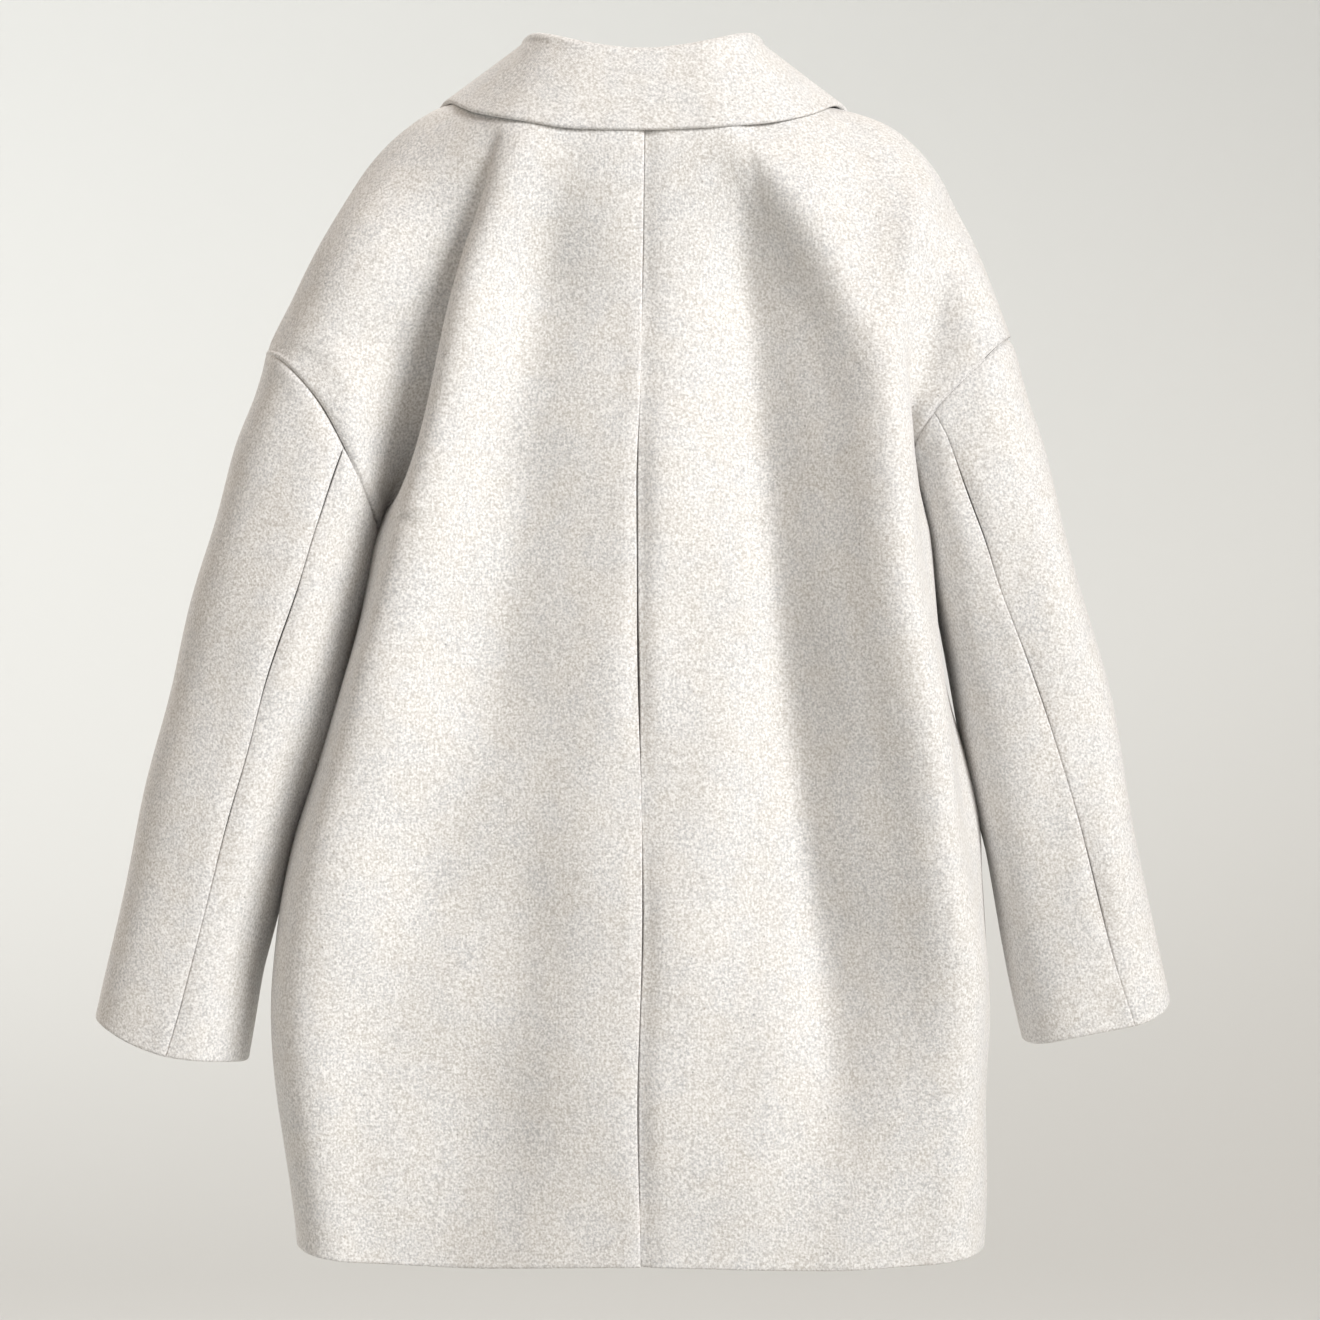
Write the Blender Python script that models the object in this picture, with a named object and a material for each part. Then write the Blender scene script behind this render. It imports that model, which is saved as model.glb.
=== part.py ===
"""A double-breasted coat of felted wool, filled out and hollow, with one closed wall for each sewn piece.

Sizes are in millimetres and become metres when a mesh is made. The front of the coat faces -Y, its back +Y,
the wearer's left is +X and +Z is up. The origin is the middle of the neck opening.
"""
import math

import bmesh
import bpy
import numpy as np
from mathutils import Matrix
from mathutils.bvhtree import BVHTree

MM = 0.001             # metres in a millimetre

# Cloth and sewing
CLOTH = 2.6            # thickness of the felted wool
SEAM_GAP = 0.3         # space left between two pieces at a seam
LAY_GAP = 1.0          # space under a piece that lies on another
LAYER = CLOTH + LAY_GAP
FRONT_EASE = 0.6       # more space under the right front, which spans wide faces
NECK_EASE = 0.6        # space at the neck seam, where the collar turns up from the panels
MITRE_LIMIT = 1.2      # keeps a trimmed rim from running far at a sharp corner

# Levels of the coat
HEM_Z = -804.0
NECK_BACK_Z = -16.0    # neck seam at the centre back
NECK_SIDE_Z = 8.0      # neck seam at the top of the shoulder
NECK_FRONT_Z = -40.0   # where the neck seam meets the roll line of the lapel

# Double-breasted front
OVERLAP = 95.0                 # how far each front runs past the centre front
ROLL_TOP_X = 72.0              # roll line at the neck seam
BREAK_Z = -330.0               # lower end of the roll line, at the front edge
LIFT_SIDE = (40.0, 8.0)        # past the overlap, where the right front begins and ends its rise over the left
LIFT_TOP = (-95.0, -160.0)     # levels between which that rise begins below the neck
LIFT_BREAK = (-26.0, 10.0)     # from the break, where the left lapel adds a second layer

# Shape between the sections
UNDERARM_REACH = 28.0  # above and below the underarm, where its point draws the trough and the side seam
BOW_POWER = 1.25       # the armhole seam bows towards the body,
DIP_POWER = 9.0        # and dips where it turns under the arm
RIDGE_INSET = 20.0     # from the turn of the back in to its ridge
RIDGE_PULL = 0.35      # share of the ridge's depth in the point halfway to it
FRONT_TURN = 0.92      # where the front turns to the side, as a share of the trough's distance
FRONT_ROUND = 0.3      # share of its depth that the front loses by there
NECK_EVEN = 0.7        # how far the bowed rows of the back grow even towards the neck
PAST_SEAM = 25.0       # degrees past the seam of a point that gives a row its direction there
FOLD_MARGIN = 30.0     # folds die away this far before the turn of the back

# Key points of a row: how far each has gone from the level at the centre to the level at the seam, and for
# the front also how far across it is from the turn to the front edge
BACK_SHARES = (0.0, 0.06, 0.16, 0.26, 0.38)
TROUGH_SHARE = 0.38
ARM_SHARES = (0.4, 0.6, 0.8)
FRONT_SHARES = ((0.0, 0.25), (0.34, 0.12), (0.68, 0.04), (1.0, 0.0))

# How many pieces each surface is divided into
LOW_ROWS = 9           # hem to underarm
HOLE_ROWS = 9          # around half of an armhole
TOP_ROWS = 6           # shoulder point to neck
BACK_STEPS = (3, 3, 2, 2)
ARM_STEPS = (2, 1, 1, 1)
FRONT_STEPS = (2, 3, 4, 4)
SLEEVE_RINGS = 13
SLEEVE_COLUMNS = 18
SLEEVE_BACK_SEAM = 5   # column of the seam down the back of a sleeve
SLEEVE_FRONT_SEAM = 11
COLLAR_STATIONS = 12   # along half of the neck seam
LAPEL_ROWS = 9
LAPEL_COLUMNS = 5
RUN_SAMPLES = 200      # samples to measure a curve's length


def smooth(keys, values, key):
    """Read a curve through the points without overshoot, and flat past both ends."""
    step = np.diff(keys)
    slope = np.diff(values) / step
    tangent = np.zeros(len(values))
    tangent[0] = slope[0]
    tangent[-1] = slope[-1]
    for i in range(1, len(values) - 1):
        if slope[i - 1] * slope[i] > 0.0:
            before = 2.0 * step[i] + step[i - 1]
            after = step[i] + 2.0 * step[i - 1]
            tangent[i] = (before + after) / (before / slope[i - 1] + after / slope[i])
    i = int(np.clip(np.searchsorted(keys, key) - 1, 0, len(step) - 1))
    t = float(np.clip((key - keys[i]) / step[i], 0.0, 1.0))
    return hermite(values[i], values[i + 1], tangent[i] * step[i], tangent[i + 1] * step[i], t)


def hermite(first, last, start, end, t):
    """A cubic between two values with a slope at each end."""
    rise = last - first
    return first + t * (start + t * (3.0 * rise - 2.0 * start - end + t * (start + end - 2.0 * rise)))


class Table:
    """Rows of sizes under named columns. The first column is the key that the others are read by."""

    def __init__(self, columns, rows):
        self.names = columns.split()
        self.rows = np.array(sorted(rows), dtype=float)

    def at(self, name, key):
        return smooth(self.rows[:, 0], self.rows[:, self.names.index(name)], key)


# Sections of the body. back and front are depths at the centre, ridge and turn are depths of the fold that ends
# the back at each side, left and right are how far out that turn is, left_in and right_in are the trough behind
# it, which becomes the side seam under the arm, and side_y is the depth of that line.
BODY = Table("z back ridge turn front left right left_in right_in side_y", [
    (8, 66, 58, 50, 50, 62, 60, 72, 70, 38),
    (-16, 79, 75, 66, 56, 86, 76, 96, 92, 56),
    (-40, 90, 87, 73, 62, 102, 87, 110, 107, 59),
    (-70, 98, 94, 75, 70, 113, 99, 120, 128, 54),
    (-105, 106, 100, 75, 76, 124, 114, 131, 150, 47),
    (-150, 111, 103, 73, 80, 133, 145, 139, 167, 38),
    (-200, 114, 105, 70, 83, 147, 176, 151, 174, 26),
    (-250, 116, 106, 66, 85, 160, 186, 163, 170, 9),
    (-330, 119, 106, 60, 87, 183, 197, 177, 184, -15),
    (-420, 120, 103, 56, 88, 208, 215, 198, 203, -13),
    (-525, 121, 98, 48, 88, 235, 233, 227, 226, -9),
    (-630, 118, 90, 40, 86, 251, 240, 245, 234, -6),
    (-735, 112, 80, 34, 82, 245, 238, 240, 233, -5),
    (-804, 106, 73, 30, 78, 240, 236, 235, 231, -5),
])

# Front of the body above the underarm: the trough between chest and arm.
CHEST = Table("z trough_x trough_y", [
    (8, 70, -30),
    (-16, 92, -37),
    (-40, 106, -42),
    (-70, 119, -45),
    (-105, 131, -46),
    (-150, 141, -46),
    (-200, 153, -43),
    (-250, 165, -34),
])

# Shoulder and arm: outer edge on each side, half width, half depth and depth of the middle.
ARM = Table("z left right left_half right_half deep middle", [
    (8, 88, 88, 40, 40, 28, 2),
    (0, 113, 113, 50, 50, 35, 1),
    (-10, 147, 149, 60, 60, 41, 0),
    (-24, 170, 179, 68, 68, 46, -2),
    (-45, 191, 201, 70, 70, 51, -4),
    (-73, 209, 218, 70, 70, 55, -6),
    (-105, 226, 234, 68, 68, 58, -8),
    (-140, 244, 247, 65, 64, 60, -10),
    (-176, 262, 259, 62, 60, 62, -12),
    (-210, 272, 268, 60, 57, 63, -13),
    (-245, 285, 280, 58.5, 52, 63, -15),
    (-300, 300, 294.5, 59.5, 50, 62, -16),
    (-350, 313, 308, 61.5, 53, 59, -18),
    (-420, 329, 327, 61, 55, 55, -20),
    (-525, 353, 347, 55, 54, 48, -22),
    (-600, 369, 361, 52, 53, 43, -24),
    (-640, 382, 371, 54, 53, 40, -24),
    (-680, 395, 381, 56, 54, 39, -24),
])

# Each arm: levels of the shoulder point and the underarm, bow of the armhole seam, lean of the shoulder seam to
# the back, turn of the sleeve from armhole to cuff, and the level of the cuff with its tilt and its drop at the
# back.
SIDES = {
    "left": dict(sign=1.0, point_z=-177.0, under_z=-301.0, bow=0.87, lean=8.0, twist=-11.0,
                 cuff=-657.0, tilt=14.0, drop=7.0),
    "right": dict(sign=-1.0, point_z=-167.0, under_z=-290.0, bow=0.8, lean=0.0, twist=-34.0,
                  cuff=-642.0, tilt=13.0, drop=8.0),
}

# Soft valleys and ridges of the back: where they run from top to bottom, height, half width, and the levels
# between which they rise and die away.
FOLDS = Table("fold x_top x_low height width z_top z_full z_fade z_low", [
    (1, 62, 118, -13, 42, -20, -200, -480, -760),
    (2, -74, -118, -19, 42, -15, -150, -520, -770),
    (3, -97, -160, 6, 26, -20, -70, -120, -220),
])

# Turn-down collar, from the centre back to the lapel, by share of the neck seam: roll and free edge.
COLLAR = Table("share roll_x roll_y roll_z edge_x edge_y edge_z", [
    (0.00, 0, 69, 26, 0, 95, -33),
    (0.30, 46, 57, 33, 78, 92, -27),
    (0.58, 79, 3, 44, 139, 8, 0),
    (0.68, 82, -18, 33, 147, -28, -8),
    (0.80, 82, -40, 12, 144, -62, -42),
    (1.00, 76, -61, -33, 112, -66, -86),
])
ROLL_RADIUS = 5.5
ROLL_TURNS = (45.0, 90.0, 135.0)       # degrees round the roll, from the fall to the stand
FALL_SHARES = (0.0, 0.25, 0.5, 0.75, 1.0)
STAND_SHARES = (0.0, 0.33, 0.67, 1.0)

# Lapel on the front: notch and tip, in distance from the centre front and level, and the curve of its outer edge.
NOTCH = (92.0, -65.0)
LAPEL_TIP = (112.0, -108.0)
LAPEL_FULL = 26.0      # how full the outer edge is
LAPEL_TAPER = 0.5      # share of that fullness lost towards the tip
LAPEL_START = 0.06     # share of the roll line below which there is no lapel
GORGE_POWER = 6.0      # keeps the notch to the top of the lapel

# Buttons in two columns on the right front, with a turned profile of radius and height
BUTTON_X = 62.0
BUTTON_LEVELS = (-398.0, -508.0, -618.0)
BUTTON_GAP = 0.3
BUTTON_SEAT = 10.0     # radius of the flat underside
BUTTON_SIDES = 18
BUTTON_PROFILE = (
    (0.0, 2.4), (8.5, 2.4), (10.4, 3.9), (12.6, 4.2), (14.0, 2.6), (12.8, 0.5), (BUTTON_SEAT, 0.0), (0.0, 0.0),
)
FAR_FRONT = -500.0     # depth in front of the whole coat

# Finishes: colour in linear light, and roughness
WOOL = ("felted_wool", (0.716, 0.687, 0.645), 0.95)
HORN = ("horn_button", (0.402, 0.337, 0.262), 0.42)
SHARP_ANGLE = 50.0     # degrees between faces past which an edge is shaded sharp


def blend(start, end, t):
    """Ease from 0 to 1 as t goes from start to end."""
    s = min(max((t - start) / (end - start), 0.0), 1.0)
    return s * s * (3.0 - 2.0 * s)


def arm_point(side, angle, z):
    """A point of the shoulder or sleeve at a level, 0 at the outer edge, going round by the back."""
    half = ARM.at(side + "_half", z)
    centre = ARM.at(side, z) - half
    return np.array([
        centre + half * math.cos(angle),
        ARM.at("middle", z) + ARM.at("deep", z) * math.sin(angle),
        z,
    ])


def armhole_level(side, angle):
    """Level of the armhole seam at an angle round the arm."""
    arm = SIDES[side]
    across = (1.0 - math.cos(angle)) / 2.0
    drop = arm["bow"] * across ** BOW_POWER + (1.0 - arm["bow"]) * across ** DIP_POWER
    return arm["point_z"] + (arm["under_z"] - arm["point_z"]) * drop


def underarm(side):
    return arm_point(side, math.pi, SIDES[side]["under_z"])


def roll_x(z):
    """Front edge of a front panel at a level: the roll line above the break, the straight edge below it."""
    share = min(max((NECK_FRONT_Z - z) / (NECK_FRONT_Z - BREAK_Z), 0.0), 1.0)
    return ROLL_TOP_X - (ROLL_TOP_X + OVERLAP) * share


def shoulder_levels(side):
    """Levels of even steps along the shoulder, from the shoulder point to the neck."""
    levels = np.linspace(SIDES[side]["point_z"], NECK_SIDE_Z, RUN_SAMPLES)
    out = np.array([ARM.at(side, z) for z in levels])
    run = np.concatenate([[0.0], np.cumsum(np.hypot(np.diff(levels), np.diff(out)))])
    return np.interp(np.linspace(0.0, run[-1], TOP_ROWS + 1)[1:], run, levels)


def edge_levels(side):
    """Levels of the rows at the side seam, the armhole seam and the shoulder seam."""
    low = list(np.linspace(HEM_Z, SIDES[side]["under_z"], LOW_ROWS + 1)[:-1])
    hole = [armhole_level(side, angle) for angle in np.linspace(math.pi, 0.0, HOLE_ROWS + 1)]
    return low + hole + list(shoulder_levels(side))


def rows_of(side):
    """Levels of each row at its seam edge, centre back and front edge, and its angle on the arm if it has one."""
    mean = [(a + b) / 2.0 for a, b in zip(edge_levels("left"), edge_levels("right"))]
    point_row = LOW_ROWS + HOLE_ROWS
    mean[LOW_ROWS:point_row + 1] = np.linspace(mean[LOW_ROWS], mean[point_row], HOLE_ROWS + 1)
    rows = []
    for i, edge in enumerate(edge_levels(side)):
        up = max(i - point_row, 0) / TOP_ROWS
        middle = mean[min(i, point_row)]
        angle = None
        if i >= LOW_ROWS:
            angle = max(point_row - i, 0) * math.pi / HOLE_ROWS
        rows.append(dict(
            edge=edge,
            back=middle + (NECK_BACK_Z - middle) * up,
            front=middle + (NECK_FRONT_Z - middle) * up,
            angle=angle,
            up=up,
        ))
    return rows


def drawn_to_underarm(side, line):
    """Draw a trough or the side seam to the underarm near its level."""
    under = underarm(side)
    near = blend(UNDERARM_REACH, 0.0, abs(line[2] - under[2]))
    line[:2] += (under[:2] - line[:2]) * near
    return line


def side_line(side, z):
    """Trough behind the turn of the back, or the side seam under the arm."""
    return drawn_to_underarm(side, np.array([BODY.at(side + "_in", z), BODY.at("side_y", z), z]))


def chest_line(side, z):
    """Trough between chest and arm, which meets the underarm."""
    return drawn_to_underarm(side, np.array([CHEST.at("trough_x", z), CHEST.at("trough_y", z), z]))


def back_keys(side, row):
    """Key points of a row from the centre back out to the trough or side seam."""
    bow = 1.0 - NECK_EVEN * row["up"]
    z = [row["back"] + (row["edge"] - row["back"]) * share ** bow for share in BACK_SHARES]
    if row["angle"] is None:
        z[-1] = row["edge"]
    ridge_x = BODY.at(side, z[2]) - RIDGE_INSET
    middle = BODY.at("back", z[1]) * (1.0 - RIDGE_PULL) + BODY.at("ridge", z[1]) * RIDGE_PULL
    return [
        np.array([0.0, BODY.at("back", z[0]), z[0]]),
        np.array([ridge_x * 0.5, middle, z[1]]),
        np.array([ridge_x, BODY.at("ridge", z[2]), z[2]]),
        np.array([BODY.at(side, z[3]), BODY.at("turn", z[3]), z[3]]),
        underarm(side) if row["angle"] == math.pi else side_line(side, z[4]),
    ]


def front_depth(x, z, trough_x):
    """Depth of the chest at a distance from the centre front."""
    return -BODY.at("front", z) * (1.0 - FRONT_ROUND * abs(x / trough_x) ** 3)


def front_keys(side, row):
    """Key points of a row from the trough or side seam in to the front edge."""
    rise = row["edge"] - row["front"]
    if row["angle"] == math.pi:
        start = underarm(side)
    elif row["angle"] is None:
        start = side_line(side, row["edge"])
    else:
        start = chest_line(side, row["front"] + rise * TROUGH_SHARE)
    keys = [start]
    end_x = roll_x(row["front"])
    turn_x = start[0] * FRONT_TURN
    for across, share in FRONT_SHARES:
        x = turn_x + (end_x - turn_x) * across
        z = row["front"] + rise * share
        keys.append(np.array([x, front_depth(x, z, start[0]), z]))
    return keys


def arm_keys(side, row, inner, way):
    """Key points over the arm, from a trough to the armhole or shoulder seam. way is 1 behind and -1 in front."""
    angle = row["angle"]
    lean = math.radians(SIDES[side]["lean"]) if row["up"] > 0.0 else 0.0
    half = ARM.at(side + "_half", inner[2])
    centre = ARM.at(side, inner[2]) - half
    start = math.acos(min(max((inner[0] - centre) / half, -1.0), 1.0))
    keys = []
    for share in ARM_SHARES:
        turned = start + (angle - start) * share
        keys.append(arm_point(side, way * turned, inner[2] + (row["edge"] - inner[2]) * share))
    return keys + [arm_point(side, way * angle + lean, row["edge"])]


def past_seam(side, row, way):
    """A point a little past the armhole or shoulder seam, which gives the row its direction there."""
    return arm_point(side, way * (row["angle"] - math.radians(PAST_SEAM)), row["edge"])


def spline(keys, counts):
    """Points of a smooth curve through the keys, with a number of steps for each span."""
    points = np.array(keys)
    tiny = 1e-9
    chord = np.sqrt(np.linalg.norm(np.diff(points, axis=0), axis=1)) + tiny
    slope = np.diff(points, axis=0) / chord[:, None]
    tangent = np.empty_like(points)
    tangent[0] = slope[0]
    tangent[-1] = slope[-1]
    for i in range(1, len(points) - 1):
        tangent[i] = (slope[i - 1] * chord[i] + slope[i] * chord[i - 1]) / (chord[i - 1] + chord[i])
    result = []
    for i, count in enumerate(counts):
        for step in range(0 if not result else 1, count + 1 if count else 0):
            start = tangent[i] * chord[i]
            end = tangent[i + 1] * chord[i]
            result.append(hermite(points[i], points[i + 1], start, end, step / count))
    return result


def fold_height(x, z):
    """Sum of the soft valleys and ridges of the back at a place."""
    total = 0.0
    for _, x_top, x_low, height, width, z_top, z_full, z_fade, z_low in FOLDS.rows:
        run = min(max((z_top - z) / (z_top - z_low), 0.0), 1.0)
        middle = x_top + (x_low - x_top) * run
        reach = blend(z_top, z_full, z) * (1.0 - blend(z_fade, z_low, z))
        total += height * reach * math.exp(-((x - middle) / width) ** 2)
    return total


def back_row(side, row):
    """Points of one row of a back panel from the centre back to the seam edge."""
    inner = back_keys(side, row)
    sign = SIDES[side]["sign"]
    if row["angle"] is None:
        keys = inner + front_keys(side, row)[1:3]
        counts = BACK_STEPS
    elif row["angle"] == math.pi:
        keys = inner
        counts = BACK_STEPS
    else:
        keys = inner + arm_keys(side, row, inner[-1], 1.0) + [past_seam(side, row, 1.0)]
        counts = BACK_STEPS + ARM_STEPS
    mirrored = keys[1] * np.array([-1.0, 1.0, 1.0])
    result = []
    for x, y, z in spline([mirrored] + keys, (0,) + counts):
        turn_x = BODY.at(side, z)
        inside = blend(turn_x, turn_x - FOLD_MARGIN, x)
        result.append(np.array([sign * x, y + fold_height(sign * x, z) * inside, z]))
    return result


def front_row(side, row):
    """Points of one row of a front panel from the seam edge to the front edge."""
    inner = front_keys(side, row)
    sign = SIDES[side]["sign"]
    if row["angle"] is None:
        keys = back_keys(side, row)[2:4] + inner
        counts = (0, 0) + FRONT_STEPS
    elif row["angle"] == math.pi:
        keys = inner
        counts = FRONT_STEPS
    else:
        keys = [past_seam(side, row, -1.0)] + arm_keys(side, row, inner[0], -1.0)[::-1] + inner
        counts = (0,) + ARM_STEPS + FRONT_STEPS
    return [np.array([sign * x, y - front_lift(side, x, z), z]) for x, y, z in spline(keys, counts)]


def front_lift(side, x, z):
    """How far the right front stands off where it lies over the left front and its lapel."""
    if side == "left":
        return 0.0
    begin, end = LIFT_SIDE
    over = blend(OVERLAP + begin, OVERLAP + end, x) * blend(*LIFT_TOP, z)
    low, high = LIFT_BREAK
    return (LAYER + FRONT_EASE) * over * (1.0 + blend(BREAK_Z + low, BREAK_Z + high, z))


def grid_quads(grid, flip):
    """Faces of a grid of points."""
    quads = []
    for low, high in zip(grid[:-1], grid[1:]):
        for i in range(len(low) - 1):
            quad = [low[i], low[i + 1], high[i + 1], high[i]]
            quads.append(quad[::-1] if flip else quad)
    return quads


def panel_quads(rows, trough, arm_after, flip):
    """Faces of a body panel: full rows under the arm, and the shoulder part that starts at the underarm.

    trough is the column of the trough in the rows of the shoulder, and arm_after says whether the arm follows it.
    """
    under = rows[LOW_ROWS][-1 if arm_after else 0]
    body = rows[:LOW_ROWS + 1]
    shoulder = [[under] * (sum(ARM_STEPS) + 1)]
    for points in rows[LOW_ROWS + 1:]:
        first, second = points[:trough + 1], points[trough:]
        body.append(first if arm_after else second)
        shoulder.append(second if arm_after else first)
    return grid_quads(body, flip) + grid_quads(shoulder, flip)


def sleeve_rings(side):
    """Rings of a sleeve from armhole to cuff, one point for each column."""
    arm = SIDES[side]
    twist = math.radians(arm["twist"])
    rings = []
    for i in range(SLEEVE_RINGS + 1):
        t = i / SLEEVE_RINGS
        ring = []
        for j in range(SLEEVE_COLUMNS + 1):
            angle = j * 2.0 * math.pi / SLEEVE_COLUMNS
            top = armhole_level(side, angle)
            low = arm["cuff"] + arm["tilt"] * math.cos(angle + twist) - arm["drop"] * math.sin(angle + twist)
            x, y, z = arm_point(side, angle + twist * t, top + (low - top) * t)
            ring.append(np.array([arm["sign"] * x, y, z]))
        rings.append(ring)
    return rings


def point_key(point):
    """The place of a point, the same for every piece that meets there."""
    return tuple(np.round(point, 3) + 0.0)


class Sheet:
    """An outer surface made of faces, which becomes a closed wall of cloth."""

    def __init__(self, name, quads):
        self.name = name
        self.points = []
        self.faces = []
        index = {}
        for quad in quads:
            face = []
            for point in quad:
                key = point_key(point)
                if key not in index:
                    index[key] = len(self.points)
                    self.points.append(np.array(point, dtype=float))
                if index[key] not in face:
                    face.append(index[key])
            if len(face) > 2:
                self.faces.append(face)
        self.keys = list(index)

    def face_normals(self):
        for face in self.faces:
            a, b, c = (self.points[i] for i in face[:3])
            d = self.points[face[-1]]
            yield face, np.cross(c - a, d - b) if len(face) == 4 else np.cross(b - a, c - a)


def shared_normals(sheets):
    """Normals at every point, averaged over all the sheets that meet there."""
    total = {}
    for sheet in sheets:
        for face, normal in sheet.face_normals():
            for i in face:
                total[sheet.keys[i]] = total.get(sheet.keys[i], 0.0) + normal
    return {key: value / np.linalg.norm(value) for key, value in total.items()}


def trimmed(sheet, rim, normal, gap, corners):
    """Points of a sheet with its rim drawn in by half the seam gap."""
    before = {b: a for a, b in rim.items()}
    points = [point.copy() for point in sheet.points]
    for here, after in rim.items():
        ahead = sheet.points[after] - sheet.points[here]
        behind = sheet.points[here] - sheet.points[before[here]]
        inward = np.cross(normal[here], ahead / np.linalg.norm(ahead) + behind / np.linalg.norm(behind))
        inward *= 2.0 / max(float(inward @ inward), MITRE_LIMIT)
        points[here] += corners.get(sheet.keys[here], inward) * gap / 2.0
    return points


def add_wall(sheet, normals, gap, corners, finish):
    """Close a sheet into a wall of cloth: trim its rim, add an inner face and join the two along the rim.

    corners gives the way that a point of the rim moves where three pieces meet.
    """
    normal = [normals[key] for key in sheet.keys]
    sides = {(a, b) for face in sheet.faces for a, b in zip(face, face[1:] + face[:1])}
    rim = {a: b for a, b in sorted(sides) if (b, a) not in sides}
    outer = trimmed(sheet, rim, normal, gap, corners)
    inner = [point - n * CLOTH for point, n in zip(outer, normal)]
    count = len(outer)
    faces = sheet.faces + [[i + count for i in face[::-1]] for face in sheet.faces]
    for a, b in rim.items():
        if sheet.keys[a] < sheet.keys[b]:
            faces += [[b, a, b + count], [a, a + count, b + count]]
        else:
            faces += [[b, a, a + count], [b, a + count, b + count]]
    mesh = bpy.data.meshes.new(sheet.name)
    mesh.from_pydata([tuple(point * MM) for point in outer + inner], [], faces)
    add_node(sheet.name, finished(mesh, finish))


def new_finish(name, colour, roughness):
    """A plain finish with no metal in it."""
    finish = bpy.data.materials.new(name)
    finish.use_nodes = True
    surface = finish.node_tree.nodes["Principled BSDF"]
    surface.inputs["Base Color"].default_value = (*colour, 1.0)
    surface.inputs["Roughness"].default_value = roughness
    surface.inputs["Metallic"].default_value = 0.0
    return finish


def finished(mesh, finish):
    """Give a mesh its finish and smooth shading."""
    mesh.update()
    mesh.materials.append(finish)
    mesh.shade_smooth()
    mesh.set_sharp_from_angle(angle=math.radians(SHARP_ANGLE))
    return mesh


def add_node(name, mesh):
    """Put one named piece into the scene, under the coat's empty."""
    node = bpy.data.objects.new(name, mesh)
    node.parent = bpy.data.objects["coat"]
    bpy.context.scene.collection.objects.link(node)
    return node


def neck_stations(neck):
    """Points along the neck seam from right to left, each with its share of the way from the centre back."""
    stations = []
    for side in ("right", "left"):
        line = np.array(neck[side])
        run = np.concatenate([[0.0], np.cumsum(np.linalg.norm(np.diff(line, axis=0), axis=1))])
        found = []
        for share in np.linspace(0.0, 1.0, COLLAR_STATIONS):
            point = np.array([np.interp(share * run[-1], run, line[:, k]) for k in range(3)])
            found.append((point, share, SIDES[side]["sign"]))
        stations += found[::-1] if side == "right" else found[1:]
    return stations


def collar_quads(stations):
    """Faces of the collar, from the free edge over the roll and down the stand to the neck seam."""
    up = np.array([0.0, 0.0, 1.0])
    grid = []
    for point, share, sign in stations:
        mirror = np.array([sign, 1.0, 1.0])
        roll = np.array([COLLAR.at(name, share) for name in ("roll_x", "roll_y", "roll_z")]) * mirror
        edge = np.array([COLLAR.at(name, share) for name in ("edge_x", "edge_y", "edge_z")]) * mirror
        out = (edge - roll) * np.array([1.0, 1.0, 0.0])
        out /= np.linalg.norm(out)
        middle = roll - up * ROLL_RADIUS
        base = point - out * (CLOTH + NECK_EASE) + up * NECK_EASE
        fall_top = middle + out * ROLL_RADIUS
        stand_top = middle - out * ROLL_RADIUS
        section = [edge + (fall_top - edge) * t for t in FALL_SHARES]
        for turn in ROLL_TURNS:
            angle = math.radians(turn)
            section.append(middle + (out * math.cos(angle) + up * math.sin(angle)) * ROLL_RADIUS)
        section += [stand_top + (base - stand_top) * t for t in STAND_SHARES]
        grid.append(section)
    return grid_quads(grid, False)


def front_surface(side, x, z):
    """Outer point of a front panel at a distance from the centre front and a level."""
    edge = side_line(side, z) if z < SIDES[side]["under_z"] else chest_line(side, z)
    y = front_depth(x, z, edge[0]) - front_lift(side, x, z)
    return np.array([SIDES[side]["sign"] * x, y, z])


def lapel_quads(side):
    """Faces of a lapel that lies on the front panel, from the break up to the gorge."""
    low = np.array([-OVERLAP, BREAK_Z])
    top = np.array([ROLL_TOP_X, NECK_FRONT_Z])
    notch = np.array(NOTCH)
    tip = np.array(LAPEL_TIP)
    along = (top - low) / np.linalg.norm(top - low)
    outward = np.array([along[1], -along[0]])
    grid = []
    for i in range(LAPEL_ROWS + 1):
        v = LAPEL_START + (1.0 - LAPEL_START) * i / LAPEL_ROWS
        roll = low + (top - low) * v
        fullness = LAPEL_FULL * math.sin(math.pi * v) * (1.0 - LAPEL_TAPER * v)
        edge = low + (tip - low) * v + outward * fullness
        line = []
        for j in range(LAPEL_COLUMNS + 1):
            u = j / LAPEL_COLUMNS
            if u <= 0.5:
                gorge = top + (notch - top) * u * 2.0
            else:
                gorge = notch + (tip - notch) * (u * 2.0 - 1.0)
            straight = top + (tip - top) * u
            x, z = roll + (edge - roll) * u + (gorge - straight) * v ** GORGE_POWER
            line.append(front_surface(side, x, z) - np.array([0.0, LAYER, 0.0]))
        grid.append(line)
    return grid_quads(grid, side == "right")


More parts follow.
